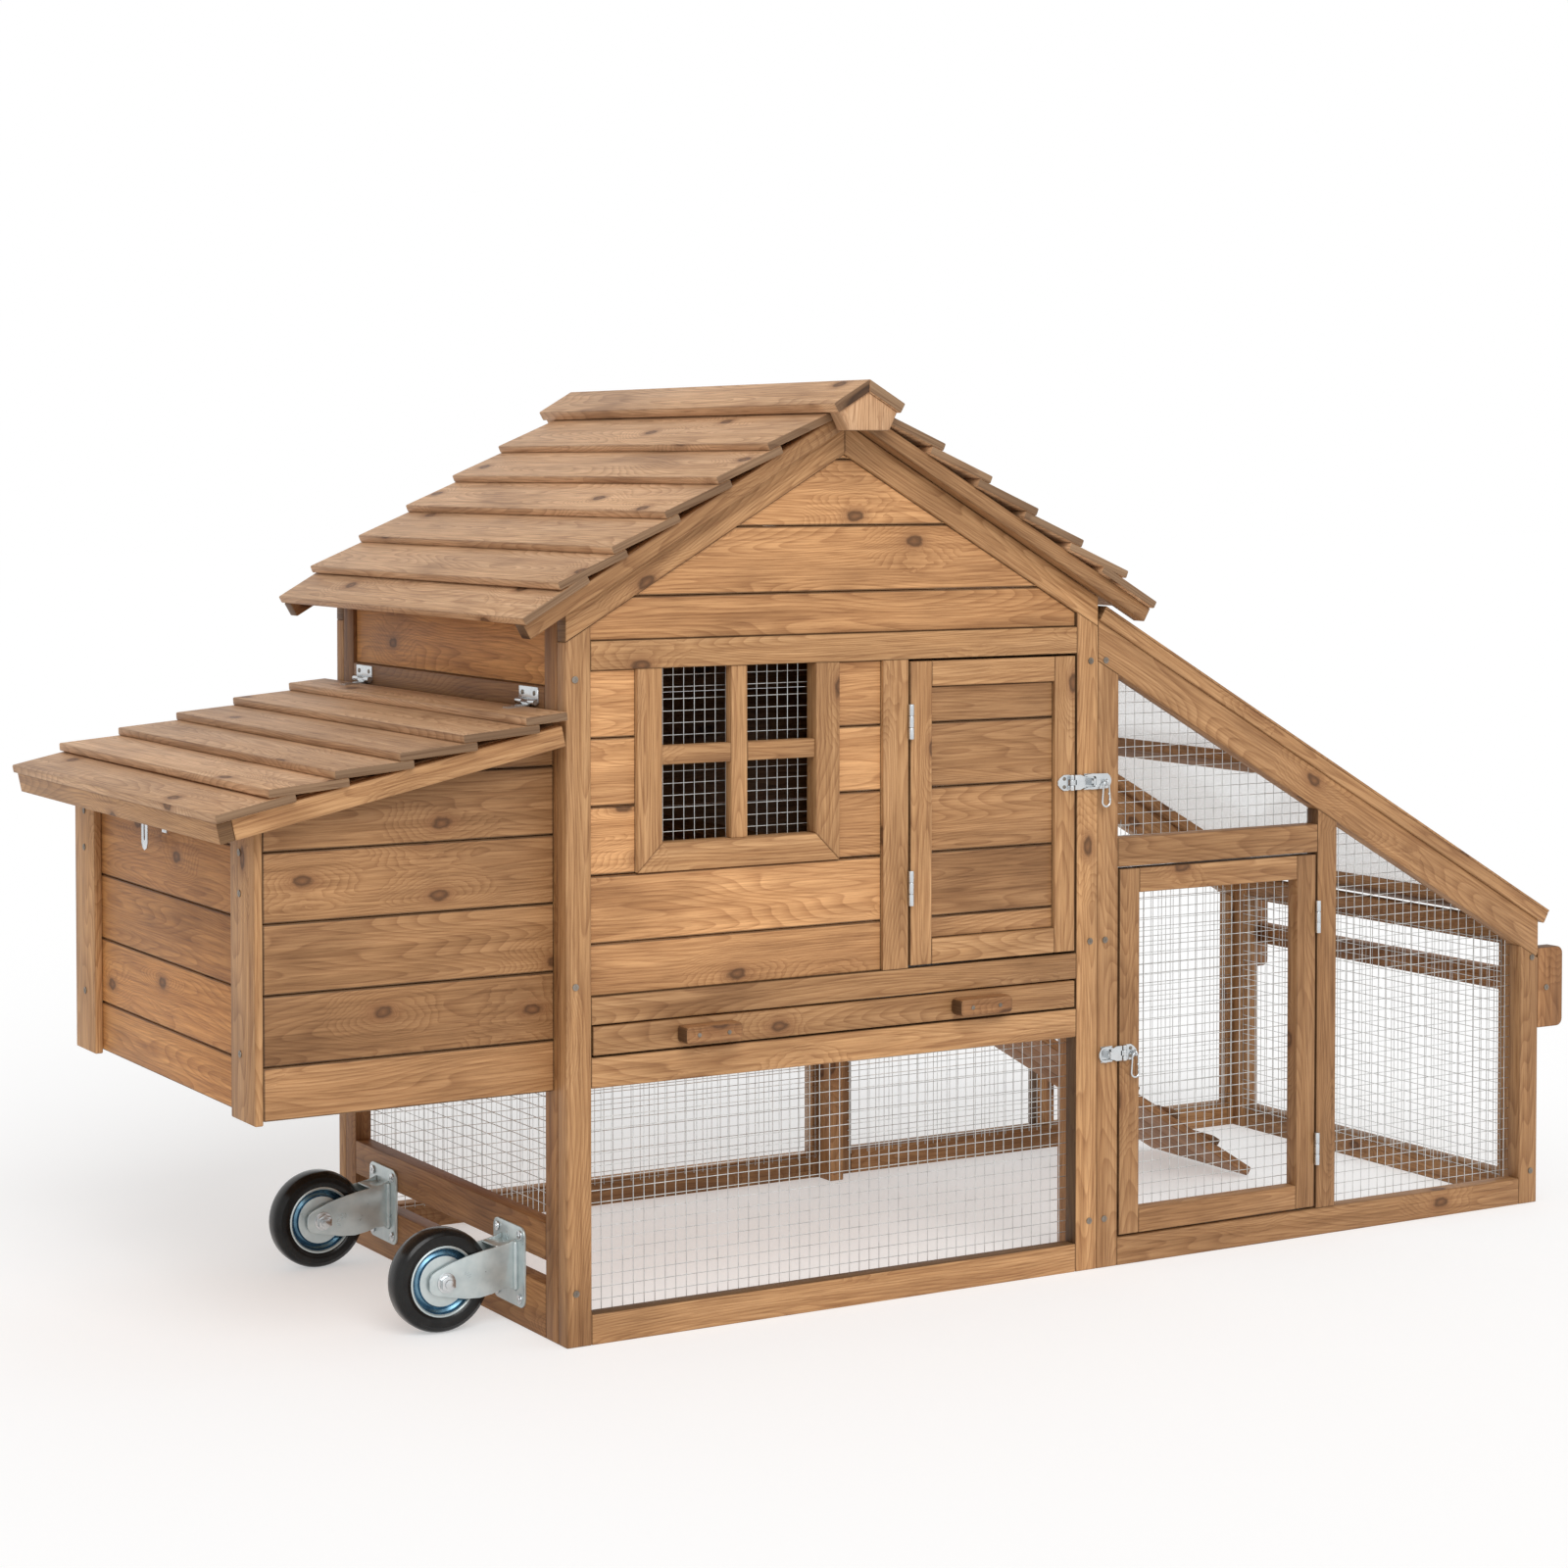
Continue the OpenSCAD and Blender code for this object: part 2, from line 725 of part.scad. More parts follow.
module nest_posts() {
    top = lid_under(-nest_l) - lid_clear - 1;
    color(dark_wood) placed() for (y = [nest_inset, nest_back - post_w])
        block([-nest_l, y, nest_z - 4], [-nest_l + post_t, y + post_w, top]);
}
module nest_floor() {
    edge = -nest_l + post_t + nest_board;
    color(wood) placed()
        block([edge, nest_inset + nest_board, nest_z], [0, nest_back - nest_board, nest_z + nest_board]);
}
module nest_divider() {
    edge = -nest_l + post_t + nest_board;
    color(wood) placed() upright(depth / 2 - nest_board / 2, nest_board) polygon([[edge, nest_z + nest_board],
        [0, nest_z + nest_board], [0, nest_z + divider_h], [edge, nest_z + divider_h * 0.85]]);
}
module perch() {
    color(wood) placed() translate([jamb_x + jamb_w / 2, frame_t, (sill_top + head_z) / 2 - 60])
        rotate([-90, 0, 0]) cylinder(d = perch_d, h = back_y - frame_t);
}
module tray_runners() {
    color(wood) placed() for (x = [frame_t, partition_x - runner_w])
        block([x, frame_t + wire_t, floor_z - runner_h], [x + runner_w, back_y - wire_t, floor_z]);
}
// Lower lid hinge axis, with minus x running down the lid
module on_lid() {
    translate([lid_axis_x, 0, lid_top]) rotate([0, -lid_pitch, 0]) children();
}
module castor_plate_holes(y) {
    for (dy = [-1, 1], z = [plate_z + 9, plate_z + plate_h - 9])
        translate([-steel_t - 1, y + dy * (plate_w / 2 - 10), z]) rotate([0, 90, 0])
            cylinder(d = 6, h = steel_t + 2);
}
module fork_arm(y) {
    low = plate_z + 14;
    high = plate_z + plate_h - 14;
    end_r = 19;
    difference() {
        upright(y, steel_t) union() {
            translate([-axle_out, axle_z]) circle(end_r);
            polygon([[-axle_out, axle_z - end_r], [-steel_t, low], [-steel_t, high],
                [-axle_out, axle_z + end_r]]);
        }
        translate([-axle_out, y - 1, axle_z]) rotate([-90, 0, 0])
            cylinder(d = axle_d, h = steel_t + 2);
    }
}
module castor_forks() {
    color(zinc) placed() for (y = castor_ys) {
        difference() {
            block([-steel_t, y - plate_w / 2, plate_z], [0, y + plate_w / 2, plate_z + plate_h]);
            castor_plate_holes(y);
        }
        fork_arm(y - fork_in - steel_t);
        fork_arm(y + fork_in);
        block([-steel_t - 16, y - fork_in, plate_z + plate_h - 14 - steel_t],
            [-steel_t, y + fork_in, plate_z + plate_h - 14]);
    }
}
module hex_head(h) {
    cylinder(d = axle_d * 1.9, h = h, $fn = 6);
}
module castor_bolts() {
    head = axle_d * 0.65;
    out = fork_in + steel_t;
    color(zinc) placed() for (y = castor_ys) {
        translate([-axle_out, y - out, axle_z]) rotate([-90, 0, 0]) {
            cylinder(d = axle_d, h = 2 * out);
            translate([0, 0, -head]) hex_head(head);
            translate([0, 0, 2 * out]) hex_head(head);
        }
        for (dy = [-1, 1], z = [plate_z + 9, plate_z + plate_h - 9])
            translate([-steel_t, y + dy * (plate_w / 2 - 10), z]) rotate([0, -90, 0])
                cylinder(d = 11, h = 3);
    }
}
module tyre(y) {
    shoulder = 5;
    outer = wheel_d / 2;
    half = wheel_w / 2;
    color("#1c1c1c") placed() translate([-axle_out, y, axle_z]) rotate([90, 0, 0]) rotate_extrude()
        polygon([[hub_d / 2, -half], [outer - shoulder, -half], [outer, -half + shoulder],
            [outer, half - shoulder], [outer - shoulder, half], [hub_d / 2, half]]);
}
module hub(y) {
    half = wheel_w / 2;
    dish = 7;
    bore = axle_d / 2 + run_fit;
    color(zinc) placed() translate([-axle_out, y, axle_z]) rotate([90, 0, 0]) rotate_extrude()
        polygon([[bore, -half], [bore + 9, -half], [bore + 13, -half + dish], [hub_d / 2 - 5, -half + dish],
            [hub_d / 2 - 3, -half], [hub_d / 2, -half], [hub_d / 2, half], [hub_d / 2 - 3, half],
            [hub_d / 2 - 5, half - dish], [bore + 13, half - dish], [bore + 9, half], [bore, half]]);
}
module front_tyre() { tyre(castor_ys[0]); }
module back_tyre() { tyre(castor_ys[1]); }
module front_hub() { hub(castor_ys[0]); }
module back_hub() { hub(castor_ys[1]); }
// Cheek with rounded outer corners
module handle_cheeks() {
    r = 9;
    lo = handle_z - cheek_h / 2;
    hi = handle_z + cheek_h / 2;
    out = run_r + handle_out;
    color(wood) placed() for (y = [0, back_y]) upright(y, frame_t) {
        rect(run_r, lo, out - r, hi);
        rect(out - r, lo + r, out, hi - r);
        for (z = [lo + r, hi - r]) translate([out - r, z]) circle(r);
    }
}
module handle_bar() {
    color(wood) placed() block([grip_x, frame_t, handle_z - grip_h / 2],
        [grip_x + grip_t, back_y, handle_z + grip_h / 2]);
}
// Upright hinge: side is 1 where the fixed leaf lies to the left of the axis
module fixed_hinge(x, z, side) {
    third = hinge_h / 3;
    translate([x, -axis_out, z - hinge_h / 2]) {
        cylinder(r = pin_r, h = hinge_h);
        for (dz = [0, 2 * third + play]) translate([0, 0, dz]) {
            cylinder(r = knuckle_r, h = third - play);
            translate([side > 0 ? -door_gap / 2 : door_gap / 2 - leaf_t, 0, 0])
                cube([leaf_t, axis_out + door_t - 4, third - play]);
        }
    }
}
module moving_hinge(x, z, side) {
    third = hinge_h / 3;
    translate([x, -axis_out, z - hinge_h / 2 + third]) difference() {
        union() {
            cylinder(r = knuckle_r, h = third);
            translate([side > 0 ? door_gap / 2 - leaf_t : -door_gap / 2, 0, 0])
                cube([leaf_t, axis_out + door_t - 4, third]);
        }
        translate([0, 0, -1]) cylinder(r = pin_r + run_fit, h = third + 2);
    }
}
// Plate on the post with a loop that stands through the hasp leaf
module staple(x, z) {
    half = 4;
    block([x - 8, -plate_t, z - 9], [x + 8, 0, z + 9]);
    difference() {
        block([x - 1.5, -staple_out, z - half], [x + 1.5, -plate_t, z + half]);
        translate([x - 2, -staple_out / 2 - 2.5, z]) rotate([0, 90, 0]) cylinder(d = 5, h = 4);
    }
}
module fixed_lid_hinge(y) {
    third = lid_hinge_w / 3;
    translate([lid_axis_x, y - lid_hinge_w / 2, lid_axis_z]) {
        rotate([-90, 0, 0]) cylinder(r = pin_r, h = lid_hinge_w);
        for (dy = [0, 2 * third + play]) translate([0, dy, 0]) {
            rotate([-90, 0, 0]) cylinder(r = knuckle_r, h = third - play);
            translate([0, 0, -plate_t / 2]) cube([-lid_axis_x, third - play, plate_t]);
            translate([-lid_axis_x - plate_t, 0, -plate_t / 2]) cube([plate_t, third - play, 16]);
        }
    }
}
module post_ironmongery() {
    color(zinc) placed() {
        for (z = house_hinge_zs) fixed_hinge(house_axis_x, z, 1);
        for (z = run_hinge_zs) fixed_hinge(run_axis_x, z, -1);
        for (y = lid_hinge_ys) fixed_lid_hinge(y);
        staple(house_hasp_x + staple_off, house_hasp_z);
        staple(run_hasp_x - run_staple_off, run_hasp_z);
        translate([-nest_l + post_t - plate_t, lid_hasp_y - 24, lid_top - 136])
            cube([plate_t, 14, 20]);
        ramp_rod();
    }
}
module ramp_rod() {
    eye = 7;
    tab = 4;
    for (y = [ramp_y - tab - 0.5, ramp_y + ramp_w + 0.5]) {
        block([house_w, y, rod_z - eye], [house_w + plate_t, y + tab, rod_z + eye]);
        block([house_w + plate_t, y, rod_z - 4], [rod_x, y + tab, rod_z + 4]);
    }
    translate([rod_x, ramp_y - tab - 0.5, rod_z]) rotate([-90, 0, 0])
        cylinder(r = rod_r, h = ramp_w + 2 * tab + 1);
}
module screw_head() {
    head_h = 1;
    rotate([90, 0, 0]) difference() {
        cylinder(r = screw_r, h = head_h);
        translate([0, 0, head_h + 0.3]) cube([screw_r, 0.9, 1.2], center = true);
        translate([0, 0, head_h + 0.3]) cube([0.9, screw_r, 1.2], center = true);
    }
}
module frame_screws() {
    in = stile_w / 2 - 4;
    front_zs = [bottom_rail_h + 24, sill_top + 12, head_z - 9];
    post_h = lid_under(-nest_l) - nest_z;
    color(zinc) placed() {
        for (x = [in, house_w - in, run_x + in], z = front_zs) translate([x, 0, z]) screw_head();
        for (z = [40, run_end_h - 45]) translate([run_r - in, 0, z]) screw_head();
        translate([run_r + handle_out / 3, 0, handle_z]) screw_head();
        for (y = [nest_inset + post_w * 0.6, nest_back - post_w / 2], part = [0.2, 0.71, 0.84])
            translate([-nest_l, y, nest_z + post_h * part]) rotate([0, 0, -90]) screw_head();
        mirrored_back() for (x = [in, house_w - in, run_x + in], z = front_zs)
            translate([x, 0, z]) screw_head();
    }
}
module house_door_frame() {
    x0 = door_l + door_gap;
    x1 = inner_r - door_gap;
    z0 = sill_top + door_gap;
    z1 = head_z - door_gap;
    color(wood) placed() upright(0, door_t) difference() {
        rect(x0, z0, x1, z1);
        rect(x0 + door_stile, z0 + door_stile, x1 - door_stile, z1 - door_stile);
    }
}
module house_door_boards() {
    x0 = door_l + door_gap + door_stile;
    x1 = inner_r - door_gap - door_stile;
    z0 = sill_top + door_gap + door_stile;
    z1 = head_z - door_gap - door_stile;
    color(wood) placed() upright(board_inset, board_t) board_rows(x0, x1, z0, z1, head_z);
}
// Thin plate with a knuckle on its edge, for a hasp hinged on an upright pin
module hasp_base(x, z, dir, reach) {
    third = hasp_h / 3;
    free = knuckle_r + 0.4;
    translate([x, 0, z - hasp_h / 2]) mirror([dir > 0 ? 1 : 0, 0, 0]) {
        translate([free, -plate_t, 0]) cube([reach - free, plate_t, hasp_h]);
        translate([0, hasp_axis_y - 0.1, 0]) cylinder(r = pin_r * 0.7, h = hasp_h);
        for (dz = [0, 2 * third + play]) translate([0, 0, dz]) {
            translate([0, hasp_axis_y - 0.1, 0]) cylinder(r = knuckle_r * 0.9, h = third - play);
            translate([0, -plate_t, 0]) cube([free + 0.5, plate_t, third - play]);
        }
    }
}
module lug(x, z) {
    size = 9;
    difference() {
        block([x - 1, -lug_out, z - size / 2], [x + 1, -plate_t, z + size / 2]);
        translate([x - 2, lug_eye - lug_out, z - 1]) rotate([0, 90, 0]) cylinder(d = 4.4, h = 4);
    }
}
module house_door_ironmongery() {
    color(zinc) placed() {
        for (z = house_hinge_zs) moving_hinge(house_axis_x, z, 1);
        hasp_base(house_hasp_x, house_hasp_z, 1, base_reach);
    }
}
module run_door_ironmongery() {
    color(zinc) placed() {
        for (z = run_hinge_zs) moving_hinge(run_axis_x, z, -1);
        hasp_base(run_hasp_x, run_hasp_z, -1, base_reach);
        lug(run_hasp_x + run_lug_in, run_hasp_z);
    }
}
// Leaf of a hasp: runs from its knuckle over the staple
module hasp_leaf(x, z, dir, reach) {
    third = hasp_h / 3;
    y0 = hasp_axis_y - 1;
    translate([x, 0, z]) mirror([dir < 0 ? 1 : 0, 0, 0]) difference() {
        union() {
            translate([0, hasp_axis_y - 0.1, -third / 2]) cylinder(r = knuckle_r * 0.9, h = third);
            block([0, y0, -third / 2], [6, y0 + 1.1, third / 2]);
            block([4, y0, -hasp_h / 2 + 1], [reach, y0 + 1.1, hasp_h / 2 - 1]);
        }
        block([slot_in, y0 - 2, -6], [slot_out, y0 + 3, 6]);
        translate([0, hasp_axis_y - 0.1, -hasp_h]) cylinder(r = pin_r * 0.7 + run_fit, h = 2 * hasp_h);
    }
}
module house_hasp_leaf() {
    x = house_hasp_x + leaf_reach - lug_in;
    color(zinc) placed() {
        hasp_leaf(house_hasp_x, house_hasp_z, 1, leaf_reach);
        translate([0, hasp_axis_y + plate_t - 0.5, 0]) lug(x, house_hasp_z);
    }
}
module run_hasp_leaf() {
    color(zinc) placed() hasp_leaf(run_hasp_x, run_hasp_z, -1, run_leaf_reach);
}
// Stadium of wire that hangs from a lug, in the plane of the door
module snap_hook(x, y, z) {
    r = hook_w / 2 - hook_r;
    straight = hook_drop - hook_w;
    translate([x, y, z - r]) rotate([90, 0, 0]) {
        rotate_extrude(angle = 180) translate([r, 0]) circle(hook_r);
        translate([0, -straight, 0]) rotate([0, 0, 180]) rotate_extrude(angle = 180)
            translate([r, 0]) circle(hook_r);
        for (side = [-r, r]) translate([side, 0, 0]) rotate([90, 0, 0]) cylinder(r = hook_r, h = straight);
    }
}
module house_hook() {
    color(zinc) placed() snap_hook(house_hasp_x + leaf_reach - lug_in,
        hasp_axis_y + plate_t - 0.5 - lug_out + lug_eye, house_hasp_z - 1);
}
module run_hook() {
    color(zinc) placed() snap_hook(run_hasp_x + run_lug_in, lug_eye - lug_out, run_hasp_z - 1);
}
module run_door_frame() {
    x0 = post_r + door_gap;
    x1 = mid_l - door_gap;
    z0 = bottom_rail_h + door_gap;
    z1 = run_door_top - door_gap;
    color(wood) placed() upright(0, door_t) difference() {
        rect(x0, z0, x1, z1);
        rect(x0 + door_stile, z0 + door_stile, x1 - door_stile, z1 - door_stile);
    }
}
module run_door_net() {
    lap = net_lap - door_gap - door_stile;
    color(zinc) placed() upright(door_t, wire_t) net([post_r - lap, bottom_rail_h - lap],
        [mid_l + lap, run_door_top + lap]);
}
// Lid boards lap like the roof boards
module lid_row(s_end, flat) {
    head = 4;
    len = min(lid_step + lid_lap, s_end - head);
    rise = flat ? 0 : lid_rise;
    base = flat ? 0 : lid_rise - len * lid_board / lid_step;
    polygon([[-s_end, rise], [-s_end + len, base], [-s_end + len, base + lid_board],
        [-s_end, rise + lid_board]]);
}
module lid_boards() {
    wide = lid_back - lid_front;
    color(wood) placed() on_lid() translate([0, lid_back, -lid_head_h]) rotate([90, 0, 0]) {
        linear_extrude(wide) lid_row(lid_l, true);
        for (k = [0:lid_rows]) linear_extrude(wide) lid_row(lid_l - lid_show - k * lid_step, false);
    }
}
module lid_battens() {
    head = 8;
    wide = 16;
    side = 8;
    color(wood) placed() on_lid() translate([0, 0, -lid_head_h]) {
        for (y = [lid_front + side, lid_back - side - wide])
            block([-lid_l + wide + 2, y, -lid_batten], [-head, y + wide, 0]);
        block([-lid_l + 2, lid_front + side, -lid_batten], [-lid_l + 2 + wide, lid_back - side, 0]);
        block([-lid_hasp_in, lid_hasp_y - 12, -12], [-lid_hasp_in + 6, lid_hasp_y + 12, 0]);
    }
}
module lid_hinge_leaves() {
    third = lid_hinge_w / 3;
    color(zinc) placed() for (y = lid_hinge_ys) difference() {
        union() {
            translate([lid_axis_x, y - third / 2, lid_axis_z]) rotate([-90, 0, 0])
                cylinder(r = knuckle_r, h = third);
            translate([lid_axis_x, y - third / 2, lid_top]) rotate([0, -lid_tilt, 0])
                block([-lid_leaf, 0, 0], [0, third, plate_t]);
            translate([lid_axis_x - 1, y - third / 2, lid_top + 0.5]) cube([2, third, knuckle_r + plate_t]);
        }
        translate([lid_axis_x, y - third, lid_axis_z]) rotate([-90, 0, 0])
            cylinder(r = pin_r + run_fit, h = 2 * third);
    }
}
module lid_hasp_leaf() {
    color(zinc) placed() on_lid() translate([-lid_hasp_in, lid_hasp_y, -lid_head_h - 12 - 2.6])
        rotate([0, lid_pitch, 0]) {
            translate([0, -8, 0]) rotate([-90, 0, 0]) cylinder(r = 2.4, h = 16);
            translate([-0.75, -6, -27]) cube([1.5, 12, 27]);
        }
}
module tray_pan() {
    low = floor_z + 0.4;
    base = 5;
    rise = 24;
    color(dark_wood) placed() difference() {
        block([stile_w + tray_gap, door_t, low], [inner_r - tray_gap, door_t + tray_d, low + rise]);
        block([stile_w + tray_gap + tray_wall, door_t + tray_wall, low + base],
            [inner_r - tray_gap - tray_wall, door_t + tray_d - tray_wall, low + rise + 1]);
    }
}
module tray_front() {
    color(wood) placed() block([stile_w + tray_gap, 0, floor_z + tray_gap],
        [inner_r - tray_gap, door_t, sill_z - tray_gap]);
}
module tray_handles() {
    z = (floor_z + sill_z) / 2 - block_h / 2;
    chamfer = 3;
    color(dark_wood) placed() for (x = [stile_w + block_in, inner_r - block_in])
        translate([x - block_l / 2, 0, z]) rotate([90, 0, 90])
        linear_extrude(block_l) polygon([[0, 0], [0, block_h], [-block_d + chamfer, block_h],
            [-block_d, block_h - chamfer], [-block_d, chamfer], [-block_d + chamfer, 0]]);
}
// The ramp hangs on its rod and slopes down into the run
module on_ramp() {
    translate([rod_x, ramp_y, rod_z]) rotate([0, ramp_angle, 0]) children();
}
module ramp_board() {
    r = ramp_t / 2;
    color(dark_wood) placed() on_ramp() difference() {
        union() {
            block([0, 0, -r], [ramp_len, ramp_w, r]);
            rotate([-90, 0, 0]) cylinder(r = r, h = ramp_w);
        }
        translate([0, -1, 0]) rotate([-90, 0, 0]) cylinder(r = rod_r + run_fit, h = ramp_w + 2);
    }
}
module ramp_cleats() {
    pitch_x = 75;
    cleat = 14;
    count = floor((ramp_len - 40) / pitch_x);
    color(wood) placed() on_ramp() for (k = [1:count])
        block([k * pitch_x, 0, ramp_t / 2], [k * pitch_x + cleat, ramp_w, ramp_t / 2 + 8]);
}

house_front_frame();
house_front_boards();
window_frame();
house_front_nets();
house_back_frame();
house_back_boards();
house_back_net();
left_end_frame();
left_end_boards();
left_end_net();
partition_frame();
partition_boards();
run_front_frame();
run_front_nets();
run_back_frame();
run_back_net();
run_end_frame();
run_end_net();
run_roof_frame();
run_roof_sheet();
roof_left_boards();
roof_right_boards();
bargeboards();
ridge_cap();
nest_side_boards();
nest_end_boards();
nest_posts();
nest_floor();
nest_divider();
perch();
tray_runners();
castor_forks();
castor_bolts();
handle_cheeks();
handle_bar();
post_ironmongery();
frame_screws();
house_door_frame();
house_door_boards();
house_door_ironmongery();
run_door_frame();
run_door_net();
run_door_ironmongery();
lid_boards();
lid_battens();
lid_hinge_leaves();
tray_pan();
tray_front();
tray_handles();
ramp_board();
ramp_cleats();
front_tyre();
front_hub();
back_tyre();
back_hub();
house_hasp_leaf();
run_hasp_leaf();
lid_hasp_leaf();
house_hook();
run_hook();
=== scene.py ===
"""Dressed model of a movable hen coop: board house, nest box, wire run, castors and handle."""

import logging
import math
import random
from contextlib import contextmanager
from dataclasses import dataclass, replace
from enum import Enum
from typing import Iterable, Iterator, Optional, Sequence, Union

import bpy
from mathutils import Matrix, Vector


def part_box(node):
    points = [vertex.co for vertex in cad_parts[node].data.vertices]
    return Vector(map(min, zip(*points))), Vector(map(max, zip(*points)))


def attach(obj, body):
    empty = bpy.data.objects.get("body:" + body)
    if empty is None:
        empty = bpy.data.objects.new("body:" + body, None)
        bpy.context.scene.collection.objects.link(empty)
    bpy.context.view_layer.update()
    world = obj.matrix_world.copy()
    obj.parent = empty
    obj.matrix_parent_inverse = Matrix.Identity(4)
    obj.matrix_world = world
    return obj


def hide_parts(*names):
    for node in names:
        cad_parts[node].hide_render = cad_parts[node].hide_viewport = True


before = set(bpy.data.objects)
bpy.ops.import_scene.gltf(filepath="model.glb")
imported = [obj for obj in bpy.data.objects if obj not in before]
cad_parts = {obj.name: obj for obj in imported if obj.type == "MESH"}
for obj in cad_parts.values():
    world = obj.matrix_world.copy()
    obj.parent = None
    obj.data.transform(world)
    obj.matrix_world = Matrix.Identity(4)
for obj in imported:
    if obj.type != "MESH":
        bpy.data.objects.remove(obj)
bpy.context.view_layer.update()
LOG = logging.getLogger("coop")
logging.basicConfig(level=logging.INFO, format="%(name)s: %(message)s")

MM = 0.001
HOUSE_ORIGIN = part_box("house_front_frame")[0]
HOUSE_TO_FRAME = Matrix.Translation(HOUSE_ORIGIN) @ Matrix.Scale(MM, 4)

Pair = tuple[float, float]
Point = tuple[float, float, float]
Cut = tuple[Point, Point]
Output = tuple[bpy.types.Node, Union[str, int]]
Stops = Sequence[tuple[float, Point]]


def at(x: float, y: float, z: float) -> Vector:
    """Turn a place in the house's own millimetres into the shared frame in metres.

    Args:
        x: Distance right of the house's left face.
        y: Distance behind the house's front face.
        z: Height above the ground.

    Returns:
        The place in the shared frame.
    """
    return HOUSE_ORIGIN + Vector((x, y, z)) * MM


def shift(x: float, y: float, z: float) -> Matrix:
    """Move by millimetres."""
    return Matrix.Translation((x, y, z))


def tilt(degrees: float, axis: str = "Y") -> Matrix:
    """Turn about an axis, the Y axis unless another is named."""
    return Matrix.Rotation(math.radians(degrees), 4, axis)


class Grain(Enum):
    """The way the fibres of a board run, or a pin lies."""

    X = 0
    Y = 1
    Z = 2


class Slot(Enum):
    """The finish slots of the part's record."""

    WOOD = "stained_wood"
    STEEL = "zinc_steel"
    WIRE = "wire_net"
    TYRE = "tyre"


class NodeBench:
    """A small bench for wiring up the nodes of one material."""

    def __init__(self, name: str) -> None:
        """Start a material with only its output and a Principled shader.

        Args:
            name: Name of the material.
        """
        self.material = bpy.data.materials.new(name)
        self.material.use_nodes = True
        self.nodes = self.material.node_tree.nodes
        self.links = self.material.node_tree.links
        self.nodes.clear()
        self.shader = self.add("ShaderNodeBsdfPrincipled")
        self.link((self.shader, "BSDF"), self.add("ShaderNodeOutputMaterial"), "Surface")

    def add(self, kind: str, **settings: object) -> bpy.types.Node:
        """Add a node and set its properties.

        Args:
            kind: Blender's name of the node type.
            **settings: Properties to set on the node.

        Returns:
            The new node.
        """
        node = self.nodes.new(kind)
        for key, value in settings.items():
            setattr(node, key, value)
        return node

    def link(self, source: Output, target: bpy.types.Node, key: Union[str, int]) -> None:
        """Join one node's output to another's input."""
        self.links.new(source[0].outputs[source[1]], target.inputs[key])

    def colour(self, source: Output) -> None:
        """Feed the shader's colour."""
        self.link(source, self.shader, "Base Color")

    def fix(self, **values: Union[float, Sequence[float]]) -> None:
        """Set plain values on the shader; an underscore stands for a space."""
        for key, value in values.items():
            self.shader.inputs[key.replace("_", " ")].default_value = value

    def math(self, operation: str, *values: Union[float, Output]) -> Output:
        """Add a Math node.

        Args:
            operation: Blender's name of the operation.
            *values: A number or an output for each input.

        Returns:
            The result.
        """
        node = self.add("ShaderNodeMath", operation=operation)
        for index, value in enumerate(values):
            if isinstance(value, tuple):
                self.link(value, node, index)
            else:
                node.inputs[index].default_value = value
        return node, 0

    def ramp(self, source: Output, stops: Stops) -> Output:
        """Add a colour ramp.

        Args:
            source: The output that drives it.
            stops: Positions with their colours.

        Returns:
            The ramp's colour.
        """
        node = self.add("ShaderNodeValToRGB")
        bands = node.color_ramp.elements
        while len(bands) < len(stops):
            bands.new(0.5)
        for band, (place, colour) in zip(bands, stops):
            band.position = place
            band.color = (*colour, 1.0)
        self.link(source, node, "Fac")
        return node, "Color"

    def mix(self, kind: str, factor: Union[float, Output], first: Output, second: Output) -> Output:
        """Mix two colours.

        Args:
            kind: The blend type.
            factor: How much of the second colour is mixed in.
            first: The first colour.
            second: The second colour.

        Returns:
            The mixed colour.
        """
        factor_in, first_in, second_in, colour_out = 0, 6, 7, 2
        node = self.add("ShaderNodeMix", data_type="RGBA", blend_type=kind)
        if isinstance(factor, tuple):
            self.link(factor, node, factor_in)
        else:
            node.inputs[factor_in].default_value = factor
        self.link(first, node, first_in)
        self.link(second, node, second_in)
        return node, colour_out

    def noise(self, scale: float, detail: float, rough: float, vector: Optional[Output] = None) -> Output:
        """Add a noise texture.

        Args:
            scale: Its scale.
            detail: Its detail.
            rough: Its roughness.
            vector: The vector it is laid on; the piece's own place if there is none.

        Returns:
            The noise.
        """
        node = self.add("ShaderNodeTexNoise")
        self.link(vector or (self.add("ShaderNodeTexCoord"), "Object"), node, "Vector")
        for key, value in (("Scale", scale), ("Detail", detail), ("Roughness", rough)):
            node.inputs[key].default_value = value
        return node, "Fac"

    def roughness(self, source: Output, spread: float, least: float) -> None:
        """Vary the shader's roughness.

        Args:
            source: The output it follows.
            spread: How far it goes up with the source.
            least: Its lowest value.
        """
        self.link(self.math("MULTIPLY_ADD", source, spread, least), self.shader, "Roughness")

    def bump(self, height: Output, strength: float, distance: float) -> None:
        """Add a bump to the shader's normal.

        Args:
            height: The output that gives the height.
            strength: Strength of the bump.
            distance: Depth of the bump in metres.
        """
        node = self.add("ShaderNodeBump")
        node.inputs["Strength"].default_value = strength
        node.inputs["Distance"].default_value = distance
        self.link(height, node, "Height")
        self.link((node, "Normal"), self.shader, "Normal")


